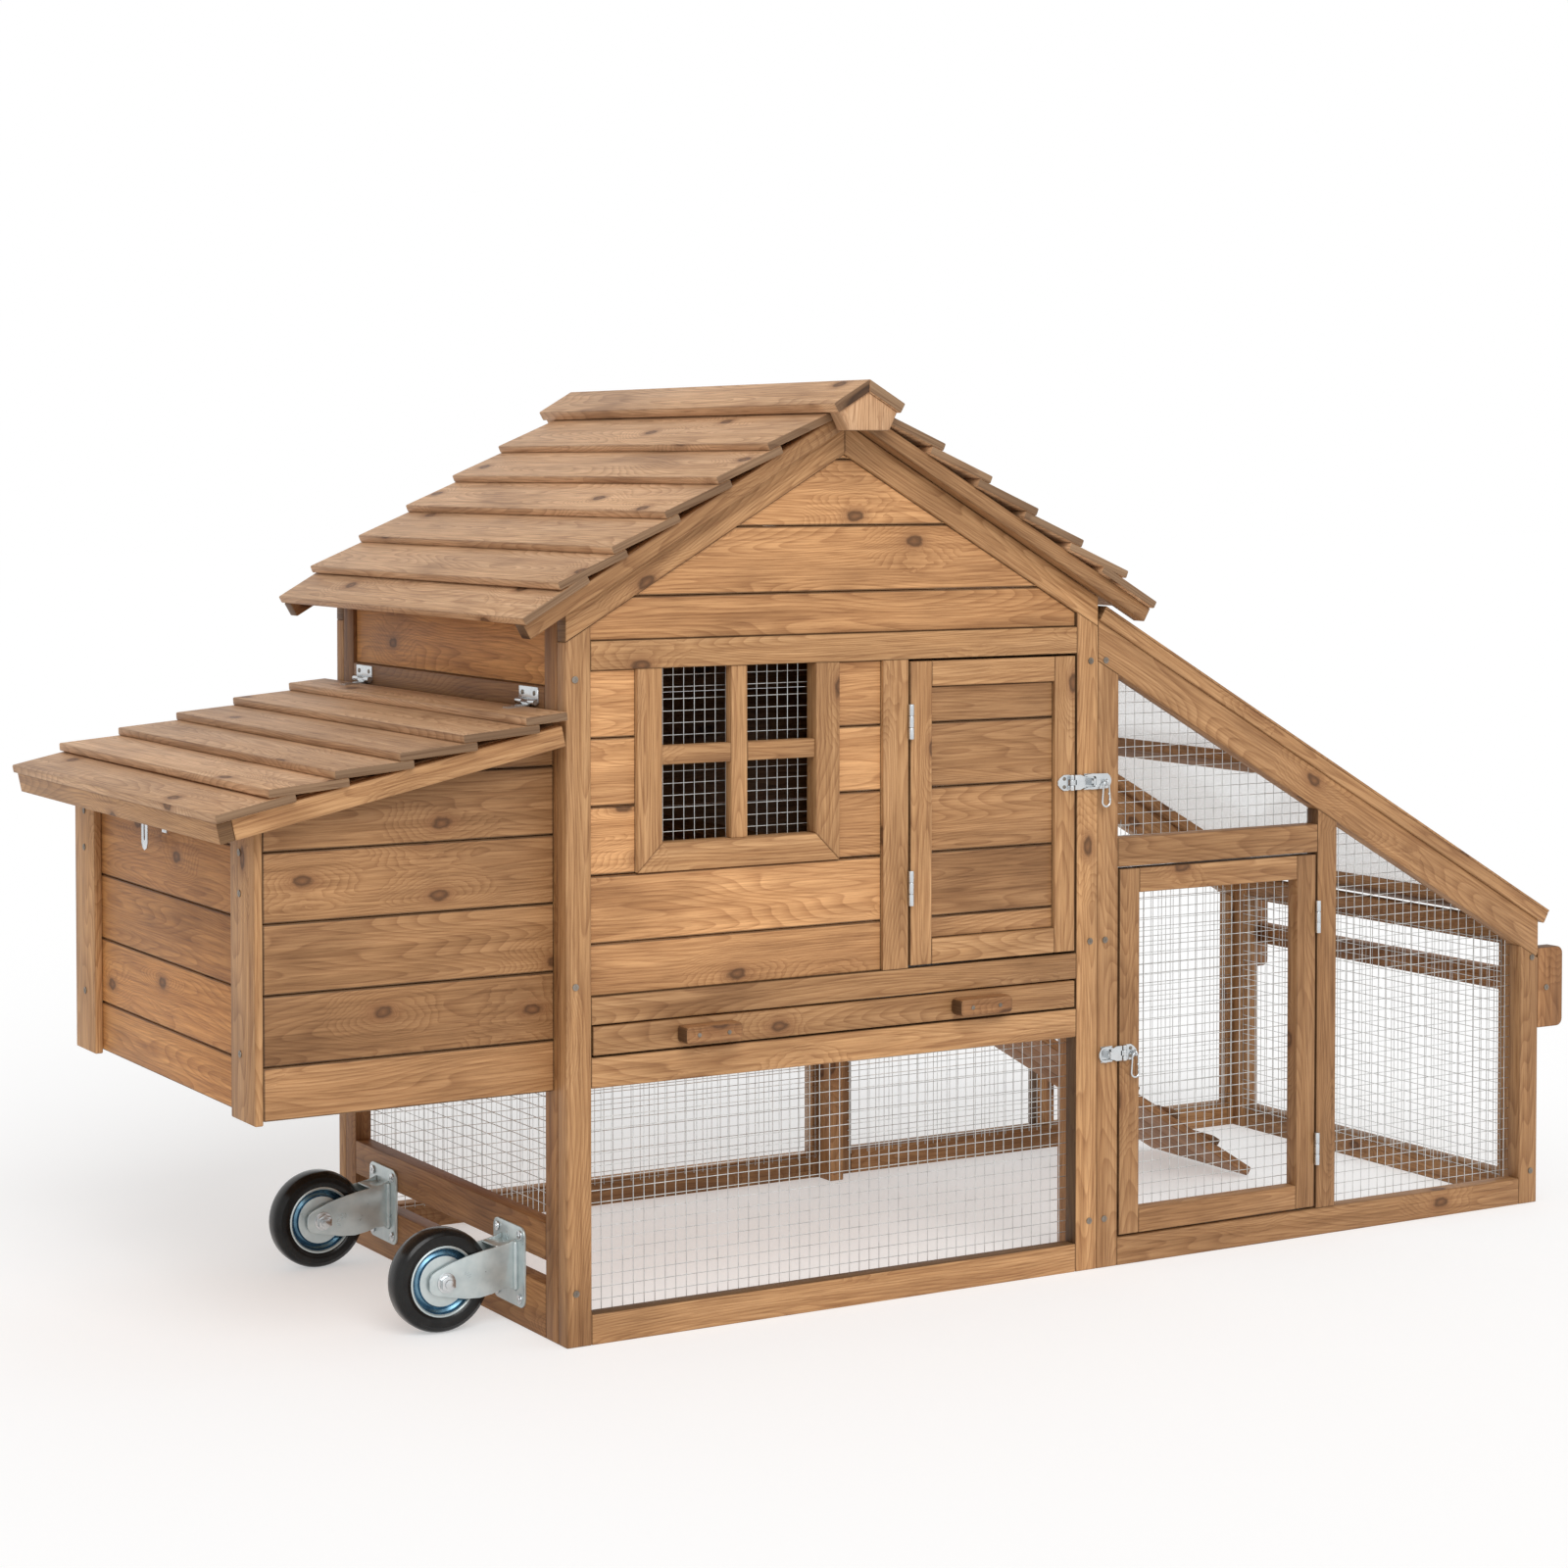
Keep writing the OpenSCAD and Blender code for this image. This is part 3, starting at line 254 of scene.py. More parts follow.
@dataclass(frozen=True)
class WoodFinish:
    """Brown stained softwood with rings, fibres and knots along each board.

    Its stops are factors for the stain, which are laid over the streaks in this order.
    """

    name: str
    light: Point
    mid: Point
    dark: Point
    knot: Point = (0.085, 0.036, 0.014)
    rough: float = 0.44
    knots: float = 0.34
    rings: float = 44.0

    RING_STOPS = ((0.0, (1.06, 1.06, 1.05)), (0.45, (0.96, 0.94, 0.92)), (0.8, (0.7, 0.61, 0.53)),
                  (0.93, (0.56, 0.45, 0.37)), (1.0, (1.04, 1.03, 1.02)))
    FIBRE_STOPS = ((0.3, (0.58, 0.5, 0.43)), (0.5, (0.95, 0.94, 0.93)), (0.7, (1.12, 1.12, 1.12)))
    TONE_STOPS = ((0.0, (0.82, 0.79, 0.76)), (0.5, (0.98, 0.97, 0.96)), (1.0, (1.13, 1.12, 1.11)))
    CLOUD_STOPS = ((0.3, (0.66, 0.61, 0.56)), (0.46, (0.98, 0.97, 0.96)), (0.7, (1.14, 1.13, 1.11)))
    SWELL_STOPS = ((0.03, (1.0, 1.0, 1.0)), (0.16, (0.42, 0.42, 0.42)), (0.5, (0.0, 0.0, 0.0)))
    NEAR_STOPS = ((0.1, (0.9, 0.9, 0.9)), (0.125, (0.5, 0.5, 0.5)), (0.22, (0.0, 0.0, 0.0)))

    @staticmethod
    def stretched(bench: NodeBench, along: float, across: float) -> Output:
        """Stretch the board's own grain map.

        Args:
            bench: The material's bench.
            along: How often the pattern repeats in a metre along the fibres.
            across: How often it repeats in a metre across them.

        Returns:
            The stretched vector.
        """
        grain = bench.add("ShaderNodeUVMap", uv_map="grain")
        mapping = bench.add("ShaderNodeMapping")
        mapping.inputs["Scale"].default_value = (along, across, 1.0)
        bench.link((grain, "UV"), mapping, "Vector")
        return mapping, "Vector"

    def knot_field(self, bench: NodeBench) -> tuple[Output, Output]:
        """Scatter a few knots.

        Args:
            bench: The material's bench.

        Returns:
            The distance to the nearest point and the mask of the points that are knots.
        """
        cells = bench.add("ShaderNodeTexVoronoi", feature="F1", voronoi_dimensions="2D")
        bench.link(self.stretched(bench, 7.0, 13.0), cells, "Vector")
        cells.inputs["Scale"].default_value = 1.0
        ragged = bench.noise(1.0, 2.0, 0.5, self.stretched(bench, 90.0, 160.0))
        reach = bench.math("MULTIPLY_ADD", ragged, 0.07, (cells, "Distance"))
        draw = bench.add("ShaderNodeSeparateColor")
        bench.link((cells, "Color"), draw, "Color")
        return reach, bench.math("GREATER_THAN", (draw, "Red"), 1.0 - self.knots)

    def ring_lines(self, bench: NodeBench, reach: Output, rare: Output) -> Output:
        """Draw the year rings, which part round each knot.

        Args:
            bench: The material's bench.
            reach: Distance to the nearest knot.
            rare: Mask of the knots.

        Returns:
            The saw-toothed rings.
        """
        field = bench.noise(1.0, 1.4, 0.45, self.stretched(bench, 1.7, 15.0))
        lift = bench.math("MULTIPLY", bench.ramp(reach, self.SWELL_STOPS), rare)
        parted = bench.math("MULTIPLY_ADD", lift, 0.3, field)
        return bench.math("FRACT", bench.math("MULTIPLY", parted, self.rings))

    def knot_colour(self, bench: NodeBench, reach: Output) -> Output:
        """Colour a knot: a paler heart and rim round a dark ring.

        Args:
            bench: The material's bench.
            reach: Distance to the nearest knot.

        Returns:
            The colour.
        """
        heart, rim = (tuple(channel * gain for channel in self.knot) for gain in (2.4, 2.8))
        return bench.ramp(reach, ((0.04, heart), (0.09, self.knot), (0.13, rim)))

    def build(self) -> bpy.types.Material:
        """Wire up the wood.

        Returns:
            The finished material.
        """
        bench = NodeBench(self.name)
        tone, shade_and_end_grain = (bench.add("ShaderNodeAttribute", attribute_name=name) for name in ("tone", "shade_and_end_grain"))
        fibre = bench.noise(1.0, 4.0, 0.7, self.stretched(bench, 15.0, 420.0))
        streak = bench.noise(1.0, 5.0, 0.72, self.stretched(bench, 3.2, 105.0))
        cloud = bench.noise(1.0, 3.0, 0.55, self.stretched(bench, 4.0, 11.0))
        reach, rare = self.knot_field(bench)
        rings = self.ring_lines(bench, reach, rare)
        colour = bench.ramp(streak, ((0.32, self.dark), (0.5, self.mid), (0.68, self.light)))
        for strength, source, stops in ((0.54, rings, self.RING_STOPS), (0.95, fibre, self.FIBRE_STOPS),
                                        (1.0, (tone, "Fac"), self.TONE_STOPS), (0.9, cloud, self.CLOUD_STOPS)):
            colour = bench.mix("MULTIPLY", strength, colour, bench.ramp(source, stops))
        spots = bench.math("MULTIPLY", bench.ramp(reach, self.NEAR_STOPS), rare)
        colour = bench.mix("MIX", spots, colour, self.knot_colour(bench, reach))
        # Painted shade on eased edges and shaded faces, and the darker end grain, multiply the colour.
        bench.colour(bench.mix("MULTIPLY", 1.0, colour, (shade_and_end_grain, "Color")))
        bench.roughness(fibre, 0.22, self.rough)
        bench.bump(bench.math("MULTIPLY_ADD", rings, -0.4, fibre), 0.4, 0.0005)
        bench.fix(Specular_IOR_Level=0.3)
        return bench.material


@dataclass(frozen=True)
class MetalFinish:
    """Plated steel with fine brushing and a cloudy bloom."""

    name: str
    colour: Point
    bloom: Point
    rough: float
    metal: float = 0.9

    def build(self) -> bpy.types.Material:
        """Wire up the metal.

        Returns:
            The finished material.
        """
        bench = NodeBench(self.name)
        cloud = bench.noise(60.0, 4.0, 0.6)
        bench.colour(bench.ramp(cloud, ((0.3, self.bloom), (0.62, self.colour))))
        bench.fix(Metallic=self.metal)
        bench.roughness(cloud, 0.16, self.rough - 0.08)
        bench.bump(bench.noise(900.0, 3.0, 0.7), 0.015, 0.0002)
        return bench.material


@dataclass(frozen=True)
class RubberFinish:
    """Solid black rubber, dusty in places."""

    name: str
    colour: Point
    dust: Point

    def build(self) -> bpy.types.Material:
        """Wire up the rubber.

        Returns:
            The finished material.
        """
        bench = NodeBench(self.name)
        bench.colour(bench.ramp(bench.noise(45.0, 5.0, 0.6), ((0.42, self.colour), (0.78, self.dust))))
        bench.fix(Roughness=0.18, Specular_IOR_Level=0.26)
        bench.bump(bench.noise(1400.0, 2.0, 0.5), 0.2, 0.0002)
        return bench.material


@dataclass(frozen=True)
class SheetFinish:
    """Clear plastic sheet with a faint milky haze."""

    name: str
    colour: Point
    alpha: float

    def build(self) -> bpy.types.Material:
        """Wire up the sheet.

        Returns:
            The finished material.
        """
        bench = NodeBench(self.name)
        haze = bench.noise(18.0, 3.0, 0.55)
        milky = tuple(channel * 0.94 for channel in self.colour)
        bench.colour(bench.ramp(haze, ((0.3, milky), (0.7, self.colour))))
        bench.fix(Alpha=self.alpha)
        bench.roughness(haze, 0.12, 0.06)
        return bench.material


BOARD_EDGE = 1.6
# Painted shade on the eased edges of wall boards, for the shadow in the grooves between them.
BOARD_SEAM_SHADE = 0.4


@dataclass(frozen=True)
class Plank:
    """One board: a box in its own millimetres, its place, its saw cuts and its eased edges.

    Its seam is the factor of painted shade on its eased edges, which stands for the shadow in the grooves between
    boards; the face that looks along dim lies in shade and gets painted shade by its own factor.
    """

    lo: Point
    hi: Point
    grain: Grain
    place: Optional[Matrix] = None
    cuts: tuple[Cut, ...] = ()
    edge: float = 1.3
    seam: float = 0.85
    dim: Optional[Point] = None
    painted_shade: float = 0.3

    def behind(self, depth: float) -> "Plank":
        """Mirror the board to the back of the coop.

        Args:
            depth: Depth of the coop, in millimetres.

        Returns:
            The board's twin at the back.
        """
        low = (self.lo[0], depth - self.hi[1], self.lo[2])
        high = (self.hi[0], depth - self.lo[1], self.hi[2])
        dim = self.dim and (self.dim[0], -self.dim[1], self.dim[2])
        return replace(self, lo=low, hi=high, dim=dim)


def deselect() -> None:
    """Leave edit mode and deselect everything."""
    if bpy.context.object and bpy.context.object.mode != "OBJECT":
        bpy.ops.object.mode_set(mode="OBJECT")
    bpy.ops.object.select_all(action="DESELECT")


@contextmanager
def editing() -> Iterator[None]:
    """Work on the active mesh in edit mode.

    Yields:
        Nothing; the mesh is back in object mode afterwards.
    """
    bpy.ops.object.mode_set(mode="EDIT")
    yield
    bpy.ops.object.mode_set(mode="OBJECT")


def pick(action: str = "SELECT") -> None:
    """Select or deselect the whole mesh in edit mode."""
    bpy.ops.mesh.select_all(action=action)


def block(low: Point, high: Point, place: Matrix = HOUSE_TO_FRAME) -> bpy.types.Object:
    """Rough out a block between two corners.

    Args:
        low: Its lowest corner.
        high: Its highest corner.
        place: The matrix that puts it in place.

    Returns:
        The block, to be worked on.
    """
    deselect()
    bpy.ops.mesh.primitive_cube_add(size=1.0)
    made = bpy.context.object
    first, last = Vector(low), Vector(high)
    made.data.transform(place @ Matrix.Translation((first + last) / 2) @ Matrix.Diagonal((*(last - first), 1.0)))
    return made


def trim(cuts: Iterable[Cut], fill: bool) -> None:
    """Cut off what lies outside some planes, in edit mode.

    Args:
        cuts: A point and an outward normal for each plane.
        fill: True if the cuts are closed.
    """
    for point, normal in cuts:
        pick()
        bpy.ops.mesh.bisect(plane_co=at(*point), plane_no=Vector(normal).normalized(), use_fill=fill,
                            clear_outer=True)


def join(parts: Sequence[bpy.types.Object]) -> bpy.types.Object:
    """Join objects into the first of them.

    Args:
        parts: The objects.

    Returns:
        The joined object, which is active.
    """
    deselect()
    for part in parts:
        part.select_set(True)
    bpy.context.view_layer.objects.active = parts[0]
    if len(parts) > 1:
        bpy.ops.object.join()
    return bpy.context.view_layer.objects.active


class Joinery:
    """The bench where boards are sawn, eased at the edges and put together."""

    REACH = 9000.0
    END_GRAIN = 0.42
    SMOOTH = math.radians(38)

    def __init__(self, seed: int) -> None:
        """Start with a fixed draw, so every run gives the same boards."""
        self.draw = random.Random(seed)

    def saw(self, spec: Plank) -> bpy.types.Object:
        """Make one board.

        Args:
            spec: The board's sizes, place and cuts.

        Returns:
            The board as an object at the origin, with a grain map and a tone.
        """
        place = HOUSE_TO_FRAME @ (spec.place or Matrix.Identity(4))
        board = block(spec.lo, spec.hi, place)
        with editing():
            trim(spec.cuts, True)
            pick()
            bpy.ops.mesh.bevel(offset=spec.edge * MM, segments=2, affect="EDGES", clamp_overlap=True)
        self.mark_grain(board, place, spec)
        return board

    def saw_rounded(self, spec: Plank, radius: float, beyond: float = -REACH) -> bpy.types.Object:
        """Make one board whose corners are rounded, seen from the front.

        Args:
            spec: The board's sizes.
            radius: Radius of the corners.
            beyond: Only the corners to the right of this line are rounded.

        Returns:
            The board, in place.
        """
        board = block(spec.lo, spec.hi)
        with editing():
            bpy.ops.mesh.select_mode(type="EDGE")
            pick("DESELECT")
        for line in board.data.edges:
            first, second = (board.data.vertices[index].co for index in line.vertices)
            line.select = abs(first.y - second.y) > MM and first.x > at(beyond, 0, 0).x
        with editing():
            bpy.ops.mesh.bevel(offset=radius * MM, segments=6, affect="EDGES")
            pick("DESELECT")
            bpy.ops.mesh.edges_select_sharp(sharpness=math.radians(60))
            bpy.ops.mesh.bevel(offset=spec.edge * MM, segments=2, affect="EDGES")
        self.mark_grain(board, HOUSE_TO_FRAME, spec)
        return board

    def mark_grain(self, board: bpy.types.Object, place: Matrix, spec: Plank) -> None:
        """Lay a grain map along the board, give it a tone of its own, paint shade on its eased edges and shaded faces,
        and darken its end grain.

        Args:
            board: The board.
            place: The matrix that put it in place.
            spec: What the board is like.
        """
        end_stretch, side_slip = 0.4, 0.35
        mesh = board.data
        while mesh.uv_layers:
            mesh.uv_layers.remove(mesh.uv_layers[0])
        mesh.uv_layers.new(name="grain")
        for name in ("tone", "shade_and_end_grain"):
            if name not in mesh.attributes:
                mesh.attributes.new(name, "FLOAT", "FACE")
        layer, tone, shade_and_end_grain = mesh.uv_layers["grain"], mesh.attributes["tone"], mesh.attributes["shade_and_end_grain"]
        shade = self.draw.random()
        offset = (self.draw.uniform(0, self.REACH), self.draw.uniform(0, self.REACH))
        back = place.inverted()
        turn = back.to_3x3()
        along = spec.grain.value
        across = [axis for axis in range(3) if axis != along]
        local = [back @ vertex.co for vertex in mesh.vertices]
        for face in mesh.polygons:
            normal = (turn @ face.normal).normalized()
            facing = max(range(3), key=lambda axis: abs(normal[axis]))
            tone.data[face.index].value = shade
            shade_and_end_grain.data[face.index].value = self.painted_shade_and_end_grain(spec, normal, facing)
            for loop in face.loop_indices:
                spot = local[mesh.loops[loop].vertex_index]
                if facing == along:
                    u, v = spot[across[0]] * end_stretch, spot[across[1]]
                else:
                    third = across[0] if facing == across[1] else across[1]
                    u, v = spot[along], spot[third] + side_slip * spot[facing]
                layer.data[loop].uv = ((u + offset[0]) * MM, (v + offset[1]) * MM)

    def painted_shade_and_end_grain(self, spec: Plank, normal: Vector, facing: int) -> float:
        """Tell how dark a face is made: painted shade on eased edges and on faces that look along dim, and darker end
        grain.

        Args:
            spec: The board.
            normal: The face's normal in the board's frame.
            facing: The axis it looks along most.

        Returns:
            A factor for the colour: 1 on a plain face.
        """
        straight = abs(normal[facing])
        # A face that looks along dim lies in shade and gets painted shade.
        if spec.dim is not None and normal.dot(Vector(spec.dim)) > 0.9:
            return spec.painted_shade
        if facing == spec.grain.value and straight > 0.7:
            return self.END_GRAIN
        # Eased edges get painted shade, standing for the shadow in the grooves between boards.
        return 1.0 if straight > 0.985 else spec.seam

    def assemble(self, name: str, parts: Sequence[bpy.types.Object], finish: bpy.types.Material, slot: Slot,
                 body: str = "coop", node: str = "") -> bpy.types.Object:
        """Join parts into one piece that stands for a CAD node.

        Args:
            name: Name of the piece.
            parts: The objects to join.
            finish: The material.
            slot: The record's finish slot; not used.
            body: The moving body it rides on.
            node: The CAD node that it replaces, if that isn't the one of the piece's own name.

        Returns:
            The finished piece.
        """
        piece = join(parts)
        piece.name = name
        piece.data.name = name
        piece.data.materials.clear()
        piece.data.materials.append(finish)
        bpy.ops.object.shade_smooth_by_angle(angle=self.SMOOTH)
        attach(piece, body)
        stands_for = node or name.lower()
        if stands_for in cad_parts:
            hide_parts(stands_for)
        LOG.info("%s: %d faces on %s", name, len(piece.data.polygons), body)
        return piece

    def boards(self, name: str, specs: Sequence[Plank], finish: bpy.types.Material, body: str = "coop",
               node: str = "") -> None:
        """Saw boards and join them into one wooden piece.

        Args:
            name: Name of the piece.
            specs: The boards.
            finish: The material.
            body: The moving body it rides on.
            node: The CAD node that it replaces, if that isn't the one of the piece's own name.
        """
        self.assemble(name, [self.saw(spec) for spec in specs], finish, Slot.WOOD, body, node)

    @staticmethod
    def tint(piece: bpy.types.Object, finish: bpy.types.Material, spots: Iterable[Point], reach: float) -> None:
        """Give the faces round some places a finish of their own.

        Args:
            piece: The piece.
            finish: The other finish.
            spots: The places, in the house's millimetres.
            reach: How far the finish goes round each place.
        """
        piece.data.materials.append(finish)
        places = [at(*spot) for spot in spots]
        for face in piece.data.polygons:
            if any((face.center - place).length < reach * MM for place in places):
                face.material_index = 1


@dataclass(frozen=True)
class House:
    """The gabled house: panels, wall boards, window and perch."""

    width: float = 672.0
    depth: float = 594.0
    eave: float = 763.0
    pitch: float = 30.0
    thick: float = 20.0
    stile: float = 29.0
    bottom: float = 32.0
    floor: Pair = (267.0, 299.0)
    sill: Pair = (333.0, 362.0)
    head: Pair = (700.0, 730.0)
    jamb: Pair = (385.0, 418.0)
    row: float = 71.0
    gap: float = 0.8
    least: float = 2.0
    inset: float = 4.0
    board: float = 10.0
    gable_row: float = 45.0
    window: Point = (83.0, 330.0, 487.0)
    casing: float = 30.0
    bar: float = 20.0
    bar_y: Pair = (2.0, 15.0)
    post_top: float = 761.0
    end_rails: tuple[Pair, ...] = ((0.0, 57.0), (82.0, 121.0), (267.0, 299.0), (652.5, 681.5), (746.5, 761.0))
    inner_rails: tuple[Pair, ...] = ((267.0, 299.0), (732.0, 761.0))
    pop_hole: Pair = (290.0, 500.0)
    pop_top: float = 559.0
    perch: tuple[Point, Point] = ((388.5, 20.0, 458.0), (414.5, 574.0, 484.0))

    @property
    def angle(self) -> float:
        """The roof's pitch in radians."""
        return math.radians(self.pitch)

    @property
    def slope_normals(self) -> tuple[Point, Point]:
        """The upward normals of the left and right slopes."""
        s, c = math.sin(self.angle), math.cos(self.angle)
        return (-s, 0.0, c), (s, 0.0, c)

    @property
    def apex(self) -> float:
        """Height of the panel's point."""
        return self.eave + self.width / 2 * math.tan(self.angle)

    @property
    def between(self) -> Pair:
        """Front and back of the space between the posts of a cross frame."""
        front = self.thick + self.stile
        return front, self.depth - front

    def under_slopes(self) -> tuple[Cut, Cut]:
        """Find the cuts along the lower edges of the sloping gable rails.

        Returns:
            The left and the right cut.
        """
        low = self.eave - self.stile / math.cos(self.angle)
        left, right = self.slope_normals
        return ((0.0, 0.0, low), left), ((self.width, 0.0, low), right)

    def rows(self, x: Pair, z: Pair, y: float, top: float, cuts: tuple[Cut, ...] = (), axis: Grain = Grain.X,
             dim: Optional[Point] = None) -> list[Plank]:
        """Stack wall boards between two heights.

        Args:
            x: Left and right ends, or front and back ends for a cross wall.
            z: Lowest and highest edge.
            y: Outer face.
            top: A height at which a seam falls.
            cuts: Saw cuts for each board.
            axis: The way the boards run.
            dim: The way their unlit inner faces look, if they have any.

        Returns:
            The boards.
        """
        made = []
        first, last = math.floor((top - z[1]) / self.row), math.ceil((top - z[0]) / self.row)
        for step in range(first, last):
            high = min(z[1], top - step * self.row)
            low = max(z[0], top - (step + 1) * self.row + self.gap)
            if high - low < self.least:
                continue
            ends = ((x[0], y, low), (x[1], y + self.board, high))
            if axis is Grain.Y:
                ends = ((y, x[0], low), (y + self.board, x[1], high))
            made.append(Plank(*ends, axis, None, cuts, BOARD_EDGE, BOARD_SEAM_SHADE, dim))
        return made

    def gable_rails(self) -> list[Plank]:
        """Lay out the two sloping rails that meet at the point of the panel.

        Returns:
            The left and the right rail.
        """
        spare, foot = 30.0, 20.0
        length = self.width / 2 / math.cos(self.angle) + spare
        made = []
        for side, edge, ends in ((-1, 0.0, (-foot, length)), (1, self.width, (-length, foot))):
            cuts = (((self.width / 2, 0, 0), (-side, 0, 0)), ((edge, 0, 0), (side, 0, 0)))
            made.append(Plank((ends[0], 0, -self.stile), (ends[1], self.thick, 0), Grain.X,
                              shift(edge, 0, self.eave) @ tilt(side * self.pitch), cuts))
        return made

    def panel(self, front: bool) -> list[Plank]:
        """Lay out the members of the front or back panel, drawn at the front.

        Args:
            front: True for the front panel, which has the tray slot.

        Returns:
            The boards of the panel.
        """
        w, t, s = self.width, self.thick, self.stile
        left, right = self.under_slopes()
        # The right stile's inner face and the rails' upper faces get painted shade.
        made = [Plank((0, 0, 0), (s, t, self.eave), Grain.Z, None, (left,)),
                Plank((w - s, 0, 0), (w, t, self.eave), Grain.Z, None, (right,), dim=(-1, 0, 0), painted_shade=0.25)]
        heights = [(0.0, self.bottom), self.head]
        heights += [self.floor, self.sill] if front else [(self.floor[0], self.sill[1])]
        made += [Plank((s, 0, low), (w - s, t, high), Grain.X, dim=(0, 0, 1), painted_shade=0.35) for low, high in heights]
        made.append(Plank((self.jamb[0], 0, self.sill[1]), (self.jamb[1], t, self.head[0]), Grain.Z))
        return made + self.gable_rails()

    def gable_rows(self) -> list[Plank]:
        """Stack the wall boards of the gable.

        Returns:
            The boards, highest first.
        """
        seam = self.head[1] + self.gable_row + 3 * self.row
        return self.rows((self.stile, self.width - self.stile), (self.head[1], self.apex), self.inset, seam,
                         self.under_slopes())

    def front_rows(self) -> list[Plank]:
        """Stack the wall boards of the front round its window.

        Returns:
            The boards.
        """
        left, right, low = self.window
        s, top = self.stile, self.head[0]
        bays = (((s, self.jamb[0]), (self.sill[1], low - self.gap)), ((s, left), (low, top)),
                ((right, self.jamb[0]), (low, top)))
        return [row for x, z in bays for row in self.rows(x, z, self.inset, top)] + self.gable_rows()

    def back_rows(self) -> list[Plank]:
        """Stack the wall boards of the back, drawn at the front.

        Returns:
            The boards.
        """
        z = (self.sill[1], self.head[0])
        bays = ((self.stile, self.jamb[0]), (self.jamb[1], self.width - self.stile))
        # The boards' inner faces get painted shade.
        made = [row for x in bays for row in self.rows(x, z, self.inset, z[1], dim=(0.0, 1.0, 0.0))]
        return made + self.gable_rows()

    def window_parts(self) -> list[Plank]:
        """Lay out the mitred casing and the glazing bars of the window.

        Returns:
            The boards of the window.
        """
        left, right, low = self.window
        top, c, t, half = self.head[0], self.casing, self.thick, self.bar / 2
        front, back = self.bar_y
        a, b = (left, 0, low), (right, 0, low)
        made = [Plank(a, (left + c, t, top), Grain.Z, None, ((a, (1, 0, -1)),)),
                Plank((right - c, 0, low), (right, t, top), Grain.Z, None, ((b, (-1, 0, -1)),)),
                Plank(a, (right, t, low + c), Grain.X, None, ((a, (-1, 0, 1)), (b, (1, 0, 1))))]
        middle, rise = (left + right) / 2, (low + c + top) / 2
        made.append(Plank((middle - half, front, low + c), (middle + half, back, top), Grain.Z))
        for start, end in ((left + c, middle - half), (middle + half, right - c)):
            made.append(Plank((start, front, rise - half), (end, back, rise + half), Grain.X))
        return made

    def cross_frame(self, x: float, heights: Sequence[Pair], top: float) -> list[Plank]:
        """Lay out a frame that runs from front to back.

        Args:
            x: Left face of the frame.
            heights: Lowest and highest edge of each rail.
            top: Height of the posts.

        Returns:
            The boards of the frame.
        """
        front, back = self.between
        made = [Plank((x, y, 0), (x + self.thick, y + self.stile, top), Grain.Z) for y in (self.thick, back)]
        return made + [Plank((x, front, low), (x + self.thick, back, high), Grain.Y) for low, high in heights]

    def left_end(self) -> list[Plank]:
        """Lay out the frame of the left end."""
        return self.cross_frame(0.0, self.end_rails, self.post_top)

    def left_rows(self) -> list[Plank]:
        """Stack the boards above the nest box lid."""
        low, high = self.end_rails[3][1], self.end_rails[4][0]
        return self.rows(self.between, (low, high), self.inset, high, axis=Grain.Y)

    def partition(self) -> list[Plank]:
        """Lay out the frame between the house and the run."""
        return self.cross_frame(self.width - self.thick, self.inner_rails, self.post_top)

    def partition_rows(self) -> list[Plank]:
        """Stack the boards of the partition round the pop hole.

        Returns:
            The boards.
        """
        (front, back), (near, far) = self.between, self.pop_hole
        floor, top = self.floor[1], self.inner_rails[1][0]
        low, bays = (floor, self.pop_top - 0.6), []
        # The boards' faces towards the house get painted shade.
        for y, z in (((front, near), low), ((far, back), low), ((front, back), (self.pop_top, top))):
            bays += self.rows(y, z, self.width - self.thick + self.inset, top, axis=Grain.Y, dim=(-1.0, 0.0, 0.0))
        return bays


